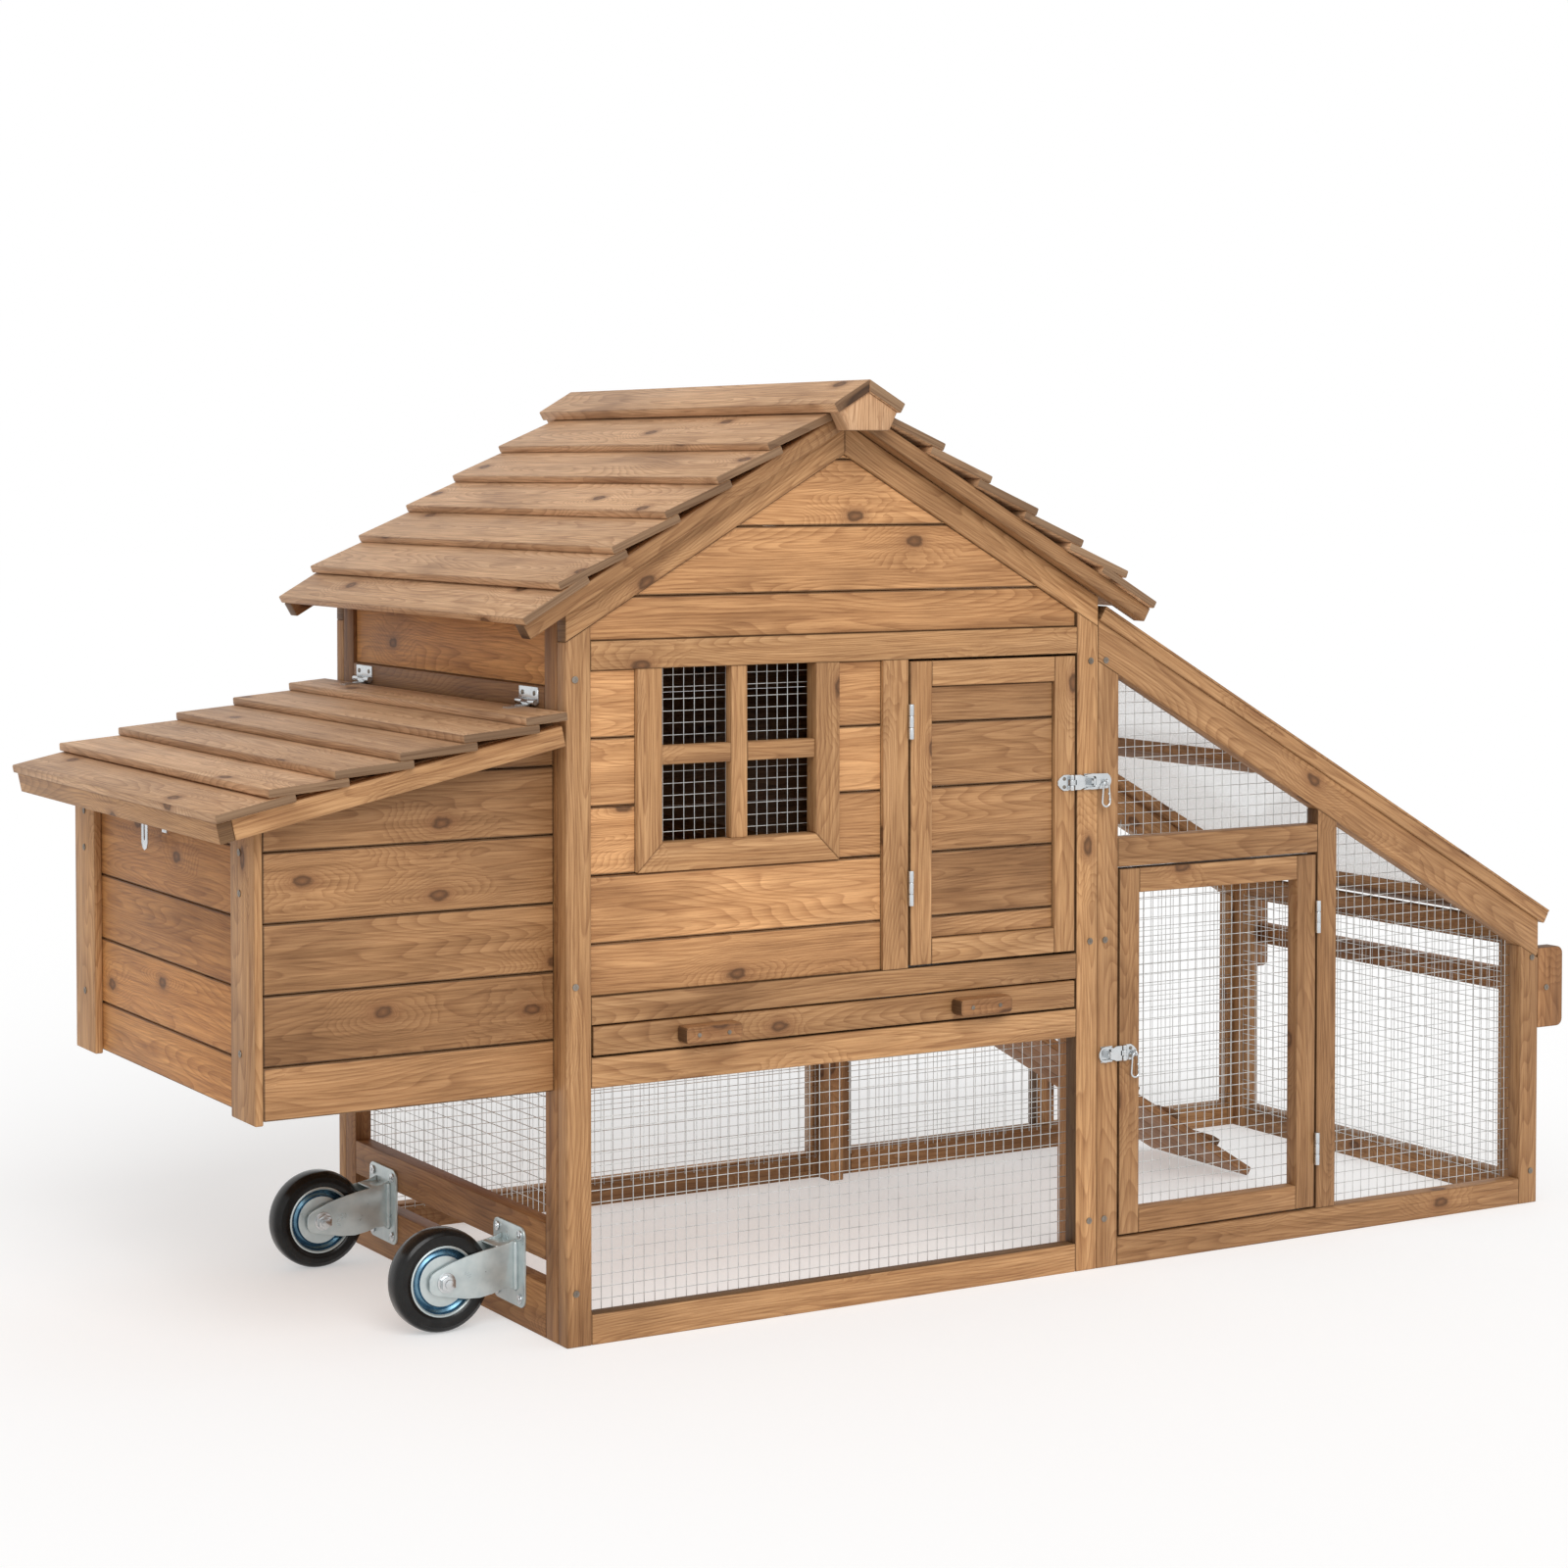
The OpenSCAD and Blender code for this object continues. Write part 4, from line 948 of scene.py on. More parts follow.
@dataclass(frozen=True)
class Roof:
    """The house roof: lapped boards, bargeboards and the ridge cap with its end blocks."""

    house: House
    over: float = 58.0
    verge: float = 27.0
    board: float = 9.0
    length: float = 85.0
    step: float = 71.0
    show: float = 51.0
    barge: float = 17.0
    barge_thick: float = 20.0
    ridge: float = 51.0
    cap: float = 52.0
    cap_thick: float = 12.0
    block_drop: float = 20.0
    courses: int = 6

    @property
    def base(self) -> float:
        """Height of the ridge line that the roof boards lie on."""
        return self.house.apex + self.barge / math.cos(self.house.angle)

    @property
    def eave_run(self) -> float:
        """Distance from the ridge to the eave down the slope."""
        return (self.house.width / 2 + self.over) / math.cos(self.house.angle)

    @property
    def cap_base(self) -> float:
        """Find the height of the ridge line under the cap, which rests on the highest boards.

        Returns:
            The height above the ground.
        """
        slope, lift = self.house.angle, 0.05
        tail = self.eave_run - self.show - (self.courses - 2) * self.step
        edge = self.cap - self.cap_thick * math.tan(slope) - tail + self.length
        return self.base + (self.board + edge * self.board / self.step + lift) / math.cos(slope)

    def slope(self, side: int) -> list[Plank]:
        """Lay out the lapped boards of one slope.

        Args:
            side: -1 for the left slope and 1 for the right.

        Returns:
            The boards, lowest first.
        """
        clear = 0.99
        lean = math.degrees(math.atan(self.board / self.step))
        place = shift(self.house.width / 2, 0, self.base) @ tilt(side * self.house.pitch)
        y0, y1 = -self.verge, self.house.depth + self.verge
        made = []
        for row in range(self.courses):
            tail = self.eave_run if row == 0 else self.eave_run - self.show - (row - 1) * self.step
            lift = 0.0 if row == 0 else lean
            long = self.length / math.cos(math.radians(lift))
            spot = place @ shift(side * (tail - self.length), 0, 0) @ tilt(-side * lift)
            ends = (-long, 0.0) if side < 0 else (0.0, long)
            made.append(Plank((ends[0], y0, 0), (ends[1], y1, self.board * clear), Grain.Y, spot, (), BOARD_EDGE))
        return made

    def bargeboards(self) -> list[Plank]:
        """Lay out the bargeboards at the front and back.

        Returns:
            The front pair, then the back pair.
        """
        middle, spare = self.house.width / 2, 30.0
        run = (middle + self.over - self.barge * math.sin(self.house.angle)) / math.cos(self.house.angle)
        made = []
        for side in (-1, 1):
            place = shift(middle, 0, self.house.apex) @ tilt(side * self.house.pitch)
            ends = (-run, spare) if side < 0 else (-spare, run)
            cut = ((middle, 0.0, 0.0), (-side, 0.0, 0.0))
            made.append(Plank((ends[0], -self.barge_thick, 0), (ends[1], 0, self.barge), Grain.X, place, (cut,)))
        return made + [board.behind(self.house.depth) for board in made]

    def ridge_parts(self) -> list[Plank]:
        """Lay out the two cap boards and the two end blocks.

        Returns:
            The boards and then the blocks.
        """
        middle, depth, slope = self.house.width / 2, self.house.depth, self.house.angle
        head, spare, half = self.cap_thick * math.tan(slope), 5.0, self.cap * 0.7
        made = []
        for side in (-1, 1):
            place = shift(middle, 0, self.cap_base) @ tilt(side * self.house.pitch)
            ends = (head - self.cap, head + spare) if side < 0 else (-head - spare, self.cap - head)
            made.append(Plank((ends[0], -self.ridge, 0), (ends[1], depth + self.ridge, self.cap_thick), Grain.Y,
                              place, (((middle, 0, 0), (-side, 0, 0)),), BOARD_EDGE))
        shoulder, foot = self.cap_base - half * math.tan(slope), half * 0.28
        cuts = [((middle, 0.0, self.cap_base), normal) for normal in self.house.slope_normals]
        cuts += [((middle + side * half, 0, shoulder), (side * self.block_drop, 0, -foot)) for side in (-1, 1)]
        low = (middle - half, 3 - self.ridge, shoulder - self.block_drop)
        end = Plank(low, (middle + half, -self.verge, self.cap_base), Grain.Z, None, tuple(cuts), 1.5)
        return made + [end, end.behind(depth)]


@dataclass(frozen=True)
class Run:
    """The lean-to run: front, back and end frames, its roof frame and the carrying handle."""

    house: House
    left: float = 672.0
    right: float = 1343.0
    low: float = 350.0
    pitch: float = 29.974
    rail: float = 40.0
    tall: float = 760.0
    mid: Pair = (992.0, 1021.0)
    header: Pair = (455.3, 488.3)
    end_rails: tuple[Pair, ...] = ((0.0, 32.0), (317.0, 346.0))
    roof: Pair = (-774.6, 8.0)
    roof_thick: float = 18.0
    lip: float = 3.0
    sheet: float = 3.0
    cheek: Point = (41.0, 216.5, 315.5)
    grip: tuple[Point, Point] = ((1350.0, 20.0, 252.5), (1372.0, 574.0, 279.5))

    @property
    def on_slope(self) -> Matrix:
        """The frame of the sloping roof, from its far lower corner."""
        return shift(self.right, 0, self.low) @ tilt(self.pitch)

    def under_rail(self, lap: float = 0.0) -> Cut:
        """Find the cut along the lower edge of the sloping rail.

        Args:
            lap: How far the cut lies above that edge.

        Returns:
            The cut.
        """
        slope = math.radians(self.pitch)
        point = (self.right, 0.0, self.low - self.rail / math.cos(slope) + lap)
        return point, (math.sin(slope), 0.0, math.cos(slope))

    def side(self, front: bool) -> list[Plank]:
        """Lay out the members of the front or back, drawn at the front.

        Args:
            front: True for the front, which has the door header.

        Returns:
            The boards of the frame.
        """
        t, s, cut, spare = self.house.thick, self.house.stile, (self.under_rail(),), 20.0
        a, b = self.left + s, self.right - s
        # The middle post's left face gets painted shade.
        middle = Plank((self.mid[0], 0, self.house.bottom), (self.mid[1], t, self.tall), Grain.Z, None, cut,
                       dim=(-1, 0, 0), painted_shade=0.4)
        made = [Plank((self.left, 0, 0), (a, t, self.tall), Grain.Z, None, cut), middle,
                Plank((b, 0, 0), (self.right, t, self.tall), Grain.Z, None, cut),
                Plank((a, 0, 0), (b, t, self.house.bottom), Grain.X)]
        if front:
            made.append(Plank((a, 0, self.header[0]), (self.mid[0], t, self.header[1]), Grain.X))
        ends = (((self.left, 0, 0), (-1, 0, 0)), ((self.right, 0, 0), (1, 0, 0)))
        made.append(Plank((-800, 0, -self.rail), (spare, t, 0), Grain.X, self.on_slope, ends))
        return made

    def end(self) -> list[Plank]:
        """Lay out the frame of the far end."""
        return self.house.cross_frame(self.right - self.house.thick, self.end_rails, self.end_rails[1][1])

    def roof_parts(self) -> list[Plank]:
        """Lay out the rails of the run's roof and the strips that hold the sheet.

        Returns:
            The rails and then the strips.
        """
        place, (a, b) = self.on_slope, self.roof
        s, depth, top = self.house.stile, self.house.depth, self.roof_thick - self.sheet
        middle, half, fine = (a + b) / 2, s / 2, 0.8
        made = []
        for y0, y1 in ((-self.lip, s), (depth - s, depth + self.lip)):
            made.append(Plank((a, y0, 0), (b, y1, top), Grain.X, place))
        for x0, x1 in ((a, a + s), (middle - half, middle + half), (b - s, b)):
            made.append(Plank((x0, s, 0), (x1, depth - s, top), Grain.Y, place))
        for y0, y1 in ((-self.lip, half), (depth - half, depth + self.lip)):
            made.append(Plank((a, y0, top), (b, y1, self.roof_thick), Grain.X, place, (), fine))
        for x0, x1 in ((a, a + half), (b - half, b)):
            made.append(Plank((x0, half, top), (x1, depth - half, self.roof_thick), Grain.Y, place, (), fine))
        return made

    def cheeks(self) -> list[Plank]:
        """Lay out the two cheeks that hold the handle's bar.

        Returns:
            The front and the back cheek.
        """
        out, low, high = self.cheek
        front = Plank((self.right, 0, low), (self.right + out, self.house.thick, high), Grain.Z)
        return [front, front.behind(self.house.depth)]


@dataclass(frozen=True)
class Door:
    """A hinged door: a frame of stiles and rails, with or without boards."""

    x: Pair
    z: Pair
    thick: float = 18.0
    stile: float = 28.0

    def members(self) -> list[Plank]:
        """Lay out the stiles and rails; the faces in the narrow gaps round the door get painted shade.

        Returns:
            The boards of the frame.
        """
        (a, b), (low, high), s, t, gap = self.x, self.z, self.stile, self.thick, 0.35
        return [Plank((a, 0, low), (a + s, t, high), Grain.Z, dim=(-1, 0, 0), painted_shade=gap),
                Plank((b - s, 0, low), (b, t, high), Grain.Z),
                Plank((a + s, 0, low), (b - s, t, low + s), Grain.X),
                Plank((a + s, 0, high - s), (b - s, t, high), Grain.X, dim=(0, 0, 1), painted_shade=gap)]

    def inside(self, lap: float = 0.0) -> tuple[Pair, Pair]:
        """Find the opening between the stiles and rails.

        Args:
            lap: How far it is widened on each side.

        Returns:
            Its left and right, then its lowest and highest edge.
        """
        s = self.stile - lap
        return (self.x[0] + s, self.x[1] - s), (self.z[0] + s, self.z[1] - s)


@dataclass(frozen=True)
class Nest:
    """The nest box on the left end, with its lapped lid."""

    length: float = 329.0
    side: float = 28.0
    depth: float = 594.0
    floor: float = 263.0
    board: float = 12.0
    gap: float = 0.8
    post: Pair = (9.0, 64.0)
    axis: Pair = (-4.0, 660.0)
    pitch: float = 12.0
    seat: float = 13.31
    seam: float = 317.0
    row: float = 71.0
    divider: Pair = (190.0, 0.15)
    lid: Point = (392.0, -18.0, 612.0)
    slat: Pair = (85.0, 9.0)
    show: float = 57.0
    batten: Pair = (16.0, 22.0)
    batten_in: float = 8.0
    hasp_block: tuple[Point, Point] = ((-346.0, 305.0, -12.0), (-340.0, 329.0, 0.0))

    @property
    def left(self) -> float:
        """Outer face of the end boards."""
        return -self.length + self.post[0]

    @property
    def on_lid(self) -> Matrix:
        """The lid's own frame, with its boards above zero."""
        return shift(self.axis[0], 0, self.axis[1]) @ tilt(-self.pitch) @ shift(0, 0, -self.seat)

    def under(self, x: float) -> float:
        """Find the height of the lid's lower face.

        Args:
            x: Where it is wanted.

        Returns:
            The height.
        """
        slope = math.radians(self.pitch)
        return self.axis[1] + (x - self.axis[0]) * math.tan(slope) - self.seat / math.cos(slope)

    def stack(self, top: float) -> list[Pair]:
        """Share out the wall boards up to a height.

        Args:
            top: The height.

        Returns:
            Lower and upper edge of each board.
        """
        most, least = 9, 4.0
        seams = (self.seam + self.row * step for step in range(most))
        marks = [self.floor] + [height for height in seams if height < top - least]
        return [(low, high - self.gap) for low, high in zip(marks, marks[1:] + [top + self.gap])]

    def sides(self) -> list[Plank]:
        """Stack the boards of both sides, cut along the lid.

        Returns:
            The front side's boards, then the back side's.
        """
        slope, top = math.radians(self.pitch), self.under(0) - 2
        cut = ((0.0, 0.0, top), (-math.sin(slope), 0.0, math.cos(slope)))
        made = [Plank((self.left, self.side, low), (0, self.side + self.board, high), Grain.X, None, (cut,),
                      BOARD_EDGE, BOARD_SEAM_SHADE) for low, high in self.stack(top)]
        return made + [spec.behind(self.depth) for spec in made]

    def between(self) -> Pair:
        """Front and back of the space between the sides."""
        front = self.side + self.board
        return front, self.depth - front

    def end(self) -> list[Plank]:
        """Stack the boards of the end.

        Returns:
            The boards, lowest first.
        """
        front, back = self.between()
        return [Plank((self.left, front, low), (self.left + self.board, back, high), Grain.Y, None, (), BOARD_EDGE,
                      BOARD_SEAM_SHADE) for low, high in self.stack(self.under(self.left) - 3)]

    def posts(self) -> list[Plank]:
        """Lay out the two flat posts on the end.

        Returns:
            The front and the back post.
        """
        foot, room = 4.0, 3.0
        spec = Plank((-self.length, self.side, self.floor - foot),
                     (self.left, self.side + self.post[1], self.under(-self.length) - room), Grain.Z)
        return [spec, spec.behind(self.depth)]

    def floor_rows(self) -> list[Plank]:
        """Lay out the floor boards.

        Returns:
            The boards, from the end to the house.
        """
        count, joint = 4, 0.6
        left, top = self.left + self.board, self.floor + self.board
        front, back = self.between()
        width = -left / count
        return [Plank((left + step * width, front, self.floor), (left + (step + 1) * width - joint, back, top),
                      Grain.Y) for step in range(count)]

    def dividers(self) -> list[Plank]:
        """Lay out the low wall between the two nests, cut sloping.

        Returns:
            The one board.
        """
        high, fall = self.divider
        left, middle, half = self.left + self.board, self.depth / 2, self.board / 2
        cut = ((0.0, 0.0, self.floor + high), (-high * fall, 0.0, -left))
        return [Plank((left, middle - half, self.floor + self.board), (0, middle + half, self.floor + high + 10),
                      Grain.X, None, (cut,))]

    def lid_rows(self) -> list[Plank]:
        """Lay out the lapped boards of the lid.

        Returns:
            The boards, lowest first.
        """
        long, front, back = self.lid
        length, thick = self.slat
        lean, laps, room = math.atan(thick / self.row), 5, 4.0
        made = [Plank((-long, front, 0), (-long + length, back, thick), Grain.Y, self.on_lid, (), BOARD_EDGE)]
        for step in range(laps):
            tail = long - self.show - step * self.row
            reach = min(length, tail - room)
            head = (length - reach) * math.tan(lean)
            place = self.on_lid @ shift(-tail + reach, 0, head) @ tilt(math.degrees(lean))
            made.append(Plank((-reach / math.cos(lean), front, 0), (0, back, thick * math.cos(lean)), Grain.Y, place,
                              (), BOARD_EDGE))
        return made

    def battens(self) -> list[Plank]:
        """Lay out the two battens, the fascia and the hasp's block under the lid.

        Returns:
            The four boards.
        """
        long, front, back = self.lid
        place, (wide, high), inset = self.on_lid, self.batten, self.batten_in
        left, fascia = -long + 2 + wide, -long + 2
        made = [Plank((left, y, -high), (-inset, y + wide, 0), Grain.X, place)
                for y in (front + inset, back - inset - wide)]
        made.append(Plank((fascia, front + inset, -high), (left, back - inset, 0), Grain.Y, place))
        return made + [Plank(*self.hasp_block, Grain.Y, place, (), 0.8)]


@dataclass(frozen=True)
class Tray:
    """The droppings tray, with its front, finger blocks and runners."""

    x: Pair = (31.0, 641.0)
    front: Pair = (301.0, 331.0)
    thick: float = 18.0
    pan: Point = (558.0, 299.4, 323.4)
    base: float = 5.0
    wall: float = 8.0
    blocks: Pair = (164.0, 508.0)
    block: Point = (69.0, 21.0, 19.0)
    screw_steps: Pair = (-19.0, 17.0)
    runner: tuple[Point, Point] = ((20.0, 22.0, 285.0), (45.0, 572.0, 299.0))
    runner_step: float = 607.0

    @property
    def middle(self) -> float:
        """Height of the front's middle line."""
        return sum(self.front) / 2

    def face(self) -> list[Plank]:
        """Lay out the front board."""
        return [Plank((self.x[0], 0, self.front[0]), (self.x[1], self.thick, self.front[1]), Grain.X)]

    def fingers(self) -> list[Plank]:
        """Lay out the two finger blocks.

        Returns:
            The left and the right block.
        """
        long, deep, high = self.block
        low = self.middle - high / 2
        # The blocks' left faces get painted shade.
        return [Plank((x - long / 2, -deep, low), (x + long / 2, 0, low + high), Grain.X, None, (), 3.2,
                      dim=(-1, 0, 0), painted_shade=0.3) for x in self.blocks]

    def screws(self) -> list[Point]:
        """Tell where the finger blocks are screwed on."""
        return [(x + step, -self.block[1] - 0.2, self.middle) for x in self.blocks for step in self.screw_steps]

    def pan_parts(self) -> list[Plank]:
        """Lay out the base and the four walls of the pan.

        Returns:
            The base and then the walls.
        """
        (a, b), t, wall = self.x, self.thick, self.wall
        back, low, high = self.pan
        made = [Plank((a + wall, t + wall, low), (b - wall, back - wall, low + self.base), Grain.X)]
        made += [Plank((x, t, low), (x + wall, back, high), Grain.Y) for x in (a, b - wall)]
        return made + [Plank((a + wall, y, low), (b - wall, y + wall, high), Grain.X) for y in (t, back - wall)]

    def runners(self) -> list[Plank]:
        """Lay out the two runners under the tray.

        Returns:
            The left and the right runner.
        """
        left = Plank(*self.runner, Grain.Y)
        moved = [(corner[0] + self.runner_step, *corner[1:]) for corner in self.runner]
        return [left, Plank(*moved, Grain.Y)]


@dataclass(frozen=True)
class Ramp:
    """The hens' ramp, with its cleats."""

    place: Matrix
    length: float = 528.5
    width: float = 204.0
    thick: float = 12.0
    boards: int = 3
    joint: float = 0.5
    cleat: Pair = (14.0, 8.0)
    pitch: float = 75.0
    steps: int = 6

    def board(self) -> list[Plank]:
        """Lay out the ramp's long boards.

        Returns:
            The boards, front to back.
        """
        wide, half = self.width / self.boards, self.thick / 2
        return [Plank((-half, row * wide, -half), (self.length, (row + 1) * wide - self.joint, half), Grain.X,
                      self.place, (), 2.0) for row in range(self.boards)]

    def cleats(self) -> list[Plank]:
        """Lay out the cleats across it.

        Returns:
            The cleats, highest first.
        """
        low, (wide, high) = self.thick / 2, self.cleat
        marks = [self.pitch * step for step in range(1, self.steps + 1)]
        return [Plank((x, 0, low), (x + wide, self.width, low + high), Grain.Y, self.place) for x in marks]


@dataclass(frozen=True)
class Net:
    """A flat panel of welded wire: verticals in front of horizontals on a square mesh.

    The panel stands on the XZ plane, or on the YZ plane if it is turned.
    """

    u: Pair
    z: Pair
    face: float
    turned: bool = False
    inward: int = 1
    cuts: tuple[Cut, ...] = ()
    mesh: float = 12.7
    wire: float = 0.45
    behind: float = 2.8

    def wires(self, upright: bool) -> bpy.types.Object:
        """Lay one set of wires.

        Args:
            upright: True for the vertical set.

        Returns:
            The set as one object, in millimetres on the XZ plane.
        """
        deselect()
        (a, b), (low, high) = self.u, self.z
        span, other = (high - low, b - a) if upright else (b - a, high - low)
        count = max(2, math.floor(other / self.mesh) + 1)
        start = (other - (count - 1) * self.mesh) / 2
        bpy.ops.mesh.primitive_cylinder_add(vertices=6, radius=self.wire, depth=span)
        rod = bpy.context.object
        depth = self.inward * self.wire * (1.0 if upright else self.behind)
        if upright:
            rod.data.transform(shift(a + start, depth, (low + high) / 2))
        else:
            rod.data.transform(shift((a + b) / 2, depth, low + start) @ tilt(90))
        array = rod.modifiers.new("wires", "ARRAY")
        array.use_relative_offset = False
        array.use_constant_offset = True
        array.count = count
        array.constant_offset_displace = (self.mesh, 0, 0) if upright else (0, 0, self.mesh)
        bpy.ops.object.modifier_apply(modifier=array.name)
        return rod

    def weave(self) -> bpy.types.Object:
        """Make the panel and put it in place.

        Returns:
            The panel.
        """
        panel = join([self.wires(True), self.wires(False)])
        place = shift(0, self.face, 0)
        if self.turned:
            place = shift(self.face, 0, 0) @ tilt(90, "Z") @ Matrix.Scale(-1, 4, (0, 1, 0))
        panel.data.transform(HOUSE_TO_FRAME @ place)
        with editing():
            trim(self.cuts, False)
            pick()
            bpy.ops.mesh.normals_make_consistent(inside=False)
        return panel


class Smith:
    """The bench where plates, pins and rings of zinc steel are made."""

    @staticmethod
    def ease(edge: float) -> None:
        """Ease the sharp edges of the mesh in edit mode.

        Args:
            edge: Width of the eased edge in millimetres.
        """
        pick()
        bpy.ops.mesh.normals_make_consistent(inside=False)
        bpy.ops.mesh.select_mode(type="EDGE")
        pick("DESELECT")
        bpy.ops.mesh.edges_select_sharp(sharpness=math.radians(40))
        bpy.ops.mesh.bevel(offset=edge * MM, segments=2, affect="EDGES", clamp_overlap=True)

    def plate(self, outline: Sequence[Pair], face: float, thick: float, hole: Optional[Sequence[Pair]] = None,
              across: bool = False, edge: float = 0.3) -> bpy.types.Object:
        """Cut a flat plate to an outline.

        Args:
            outline: The outline, seen from the front, or from the left end if the plate stands across.
            face: Where the back of the plate lies.
            thick: Thickness of the plate.
            hole: The outline of a hole, with as many points.
            across: True if the plate looks to the left.
            edge: Width of the eased edges.

        Returns:
            The plate, in place.
        """
        loops = []
        for points in (hole, outline) if hole else (outline,):
            deselect()
            bpy.ops.mesh.primitive_circle_add(vertices=len(points), fill_type="NOTHING" if hole else "NGON")
            loops.append(bpy.context.object)
            for vertex, (u, z) in zip(bpy.context.object.data.vertices, points):
                vertex.co = at(face, u, z) if across else at(u, face, z)
        made = join(loops)
        out = (-thick * MM, 0.0, 0.0) if across else (0.0, -thick * MM, 0.0)
        with editing():
            pick()
            if hole:
                bpy.ops.mesh.bridge_edge_loops()
                pick()
            bpy.ops.mesh.extrude_region_move(TRANSFORM_OT_translate={"value": out})
            self.ease(edge)
        return made

    def pin(self, centre: Point, radius: float, length: float, grain: Grain, sides: int = 20,
            edge: float = 0.4) -> bpy.types.Object:
        """Turn a pin, knuckle, washer or nut.

        Args:
            centre: Its middle.
            radius: Its radius, or half its width across the corners.
            length: Its length.
            grain: The axis that it lies along.
            sides: How many sides it has.
            edge: Width of the eased edges.

        Returns:
            The pin, in place.
        """
        deselect()
        bpy.ops.mesh.primitive_cylinder_add(vertices=sides, radius=radius, depth=length)
        made = bpy.context.object
        turn = {Grain.X: tilt(90), Grain.Y: tilt(90, "X"), Grain.Z: Matrix.Identity(4)}[grain]
        made.data.transform(HOUSE_TO_FRAME @ shift(*centre) @ turn)
        with editing():
            self.ease(edge)
        return made

    def bar(self, low: Point, high: Point, edge: float = 0.4) -> bpy.types.Object:
        """Cut a short straight bar between two corners and ease its edges.

        Args:
            low: Its lowest corner.
            high: Its highest corner.
            edge: Width of the eased edges.

        Returns:
            The bar, in place.
        """
        made = block(low, high)
        with editing():
            self.ease(edge)
        return made

    @staticmethod
    def ring(centre: Point, major: float, minor: float, turn: Matrix) -> bpy.types.Object:
        """Bend a ring of round wire.

        Args:
            centre: Its middle.
            major: Radius of the ring.
            minor: Radius of the wire.
            turn: How it is turned from lying flat.

        Returns:
            The ring, in place.
        """
        deselect()
        bpy.ops.mesh.primitive_torus_add(major_segments=28, minor_segments=10, major_radius=major,
                                         minor_radius=minor)
        made = bpy.context.object
        made.data.transform(HOUSE_TO_FRAME @ shift(*centre) @ turn)
        return made

    def hook(self, node: str) -> list[bpy.types.Object]:
        """Bend a snap hook that is narrow at the top, with a gate on one side.

        Args:
            node: The CAD node whose place it takes.

        Returns:
            The loop and the gate's two collars.
        """
        narrow, lean, gate = 0.76, 0.82, ((1.12, 0.08), (0.95, 0.3))
        low, high = (Vector(corner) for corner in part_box(node))
        middle, size = (low + high) / 2, (high - low) / MM
        wire, wide, drop = size.y / 2, size.x, size.z
        x, y, _ = (middle - HOUSE_ORIGIN) / MM
        bend = low.z / MM + wide / 2
        loop = self.ring((x, y, bend), wide / 2 - wire, wire, tilt(90, "X"))
        with editing():
            pick("DESELECT")
        for vertex in loop.data.vertices:
            vertex.select = vertex.co.z > (bend + 0.2) * MM
        with editing():
            bpy.ops.transform.translate(value=(0.0, 0.0, (drop - wide) * MM))
            bpy.ops.transform.resize(value=(narrow, 1.0, 1.0), center_override=(middle.x, middle.y, high.z))
        reach = (wide / 2 - wire) * lean
        collars = [self.pin((x + reach * part, y, bend + drop * rise), wire * 1.35, 2.2, Grain.Z, 14)
                   for part, rise in gate]
        return [loop, *collars]


@dataclass(frozen=True)
class Hasp:
    """A hasp on a door: a pointed base plate, a waisted leaf that turns on it, and its eye.

    Its outlines give the distance from the axis and the half height of each point.
    """

    x: float
    z: float
    way: int
    reach: float
    axis: float = -3.1
    half: float = 9.0
    plate: float = 1.5
    knuckle: float = 2.7
    leaf: Pair = (-2.9, 1.1)
    screw: Pair = (9.4, 4.6)
    base: tuple[Pair, ...] = ((3.4, 9.0), (10.0, 9.0), (14.5, 6.2), (18.0, 2.2))
    waist: tuple[Pair, ...] = ((4.0, 8.4), (12.0, 8.4), (16.0, 6.9), (20.0, 8.0), (27.0, 9.0))
    tip: tuple[Pair, ...] = ((-5.0, 8.4), (-1.6, 5.4), (0.0, 1.6))
    slot: tuple[Pair, ...] = ((19.2, 4.6), (20.6, 5.7), (22.4, 6.0), (25.0, 6.0), (27.6, 6.0), (30.2, 6.0),
                              (31.8, 5.7), (33.0, 4.6))

    def across(self, shape: Sequence[Pair], way: int) -> list[Pair]:
        """Mirror half an outline about the hasp's middle and put it in place.

        Args:
            shape: Distance from the axis and half height of each point.
            way: 1 towards the right and -1 towards the left.

        Returns:
            The whole outline.
        """
        upper = [(self.x + way * reach, self.z + high) for reach, high in shape]
        lower = [(self.x + way * reach, self.z - high) for reach, high in reversed(shape)]
        return upper + lower

    def screws(self) -> list[Point]:
        """Tell where the base's two screws are."""
        out, rise = self.screw
        return [(self.x - self.way * out, -self.plate - 0.3, self.z + side * rise) for side in (-1, 1)]

    def base_parts(self, smith: Smith) -> list[bpy.types.Object]:
        """Make the pointed base with its two knuckles and screws.

        Args:
            smith: The bench that makes them.

        Returns:
            The parts, in place.
        """
        third, way = self.half * 2 / 3, -self.way
        left, right = sorted((self.x, self.x + way * 3.9))
        parts = [smith.plate(self.across(self.base, way), 0.0, self.plate)]
        for z in (self.z - third, self.z + third):
            parts.append(smith.bar((left, -self.plate, z - third / 2 + 0.4), (right, 0.0, z + third / 2 - 0.2)))
            parts.append(smith.pin((self.x, self.axis, z), self.knuckle, third - 0.5, Grain.Z))
        return parts + [smith.pin(spot, 2.1, 1.0, Grain.Y, 16) for spot in self.screws()]

    def leaf_parts(self, smith: Smith) -> list[bpy.types.Object]:
        """Make the leaf with its knuckle and slot.

        Args:
            smith: The bench that makes them.

        Returns:
            The parts, in place.
        """
        face, thick = self.leaf
        shape = (*self.waist, *((self.reach + back, high) for back, high in self.tip))
        left, right = sorted((self.x, self.x + self.way * 6.0))
        return [smith.plate(self.across(shape, self.way), face, thick, self.across(self.slot, self.way)),
                smith.bar((left, face - thick, self.z - 3.0), (right, face, self.z + 3.0), 0.2),
                smith.pin((self.x, self.axis, self.z), self.knuckle, 6.2, Grain.Z)]


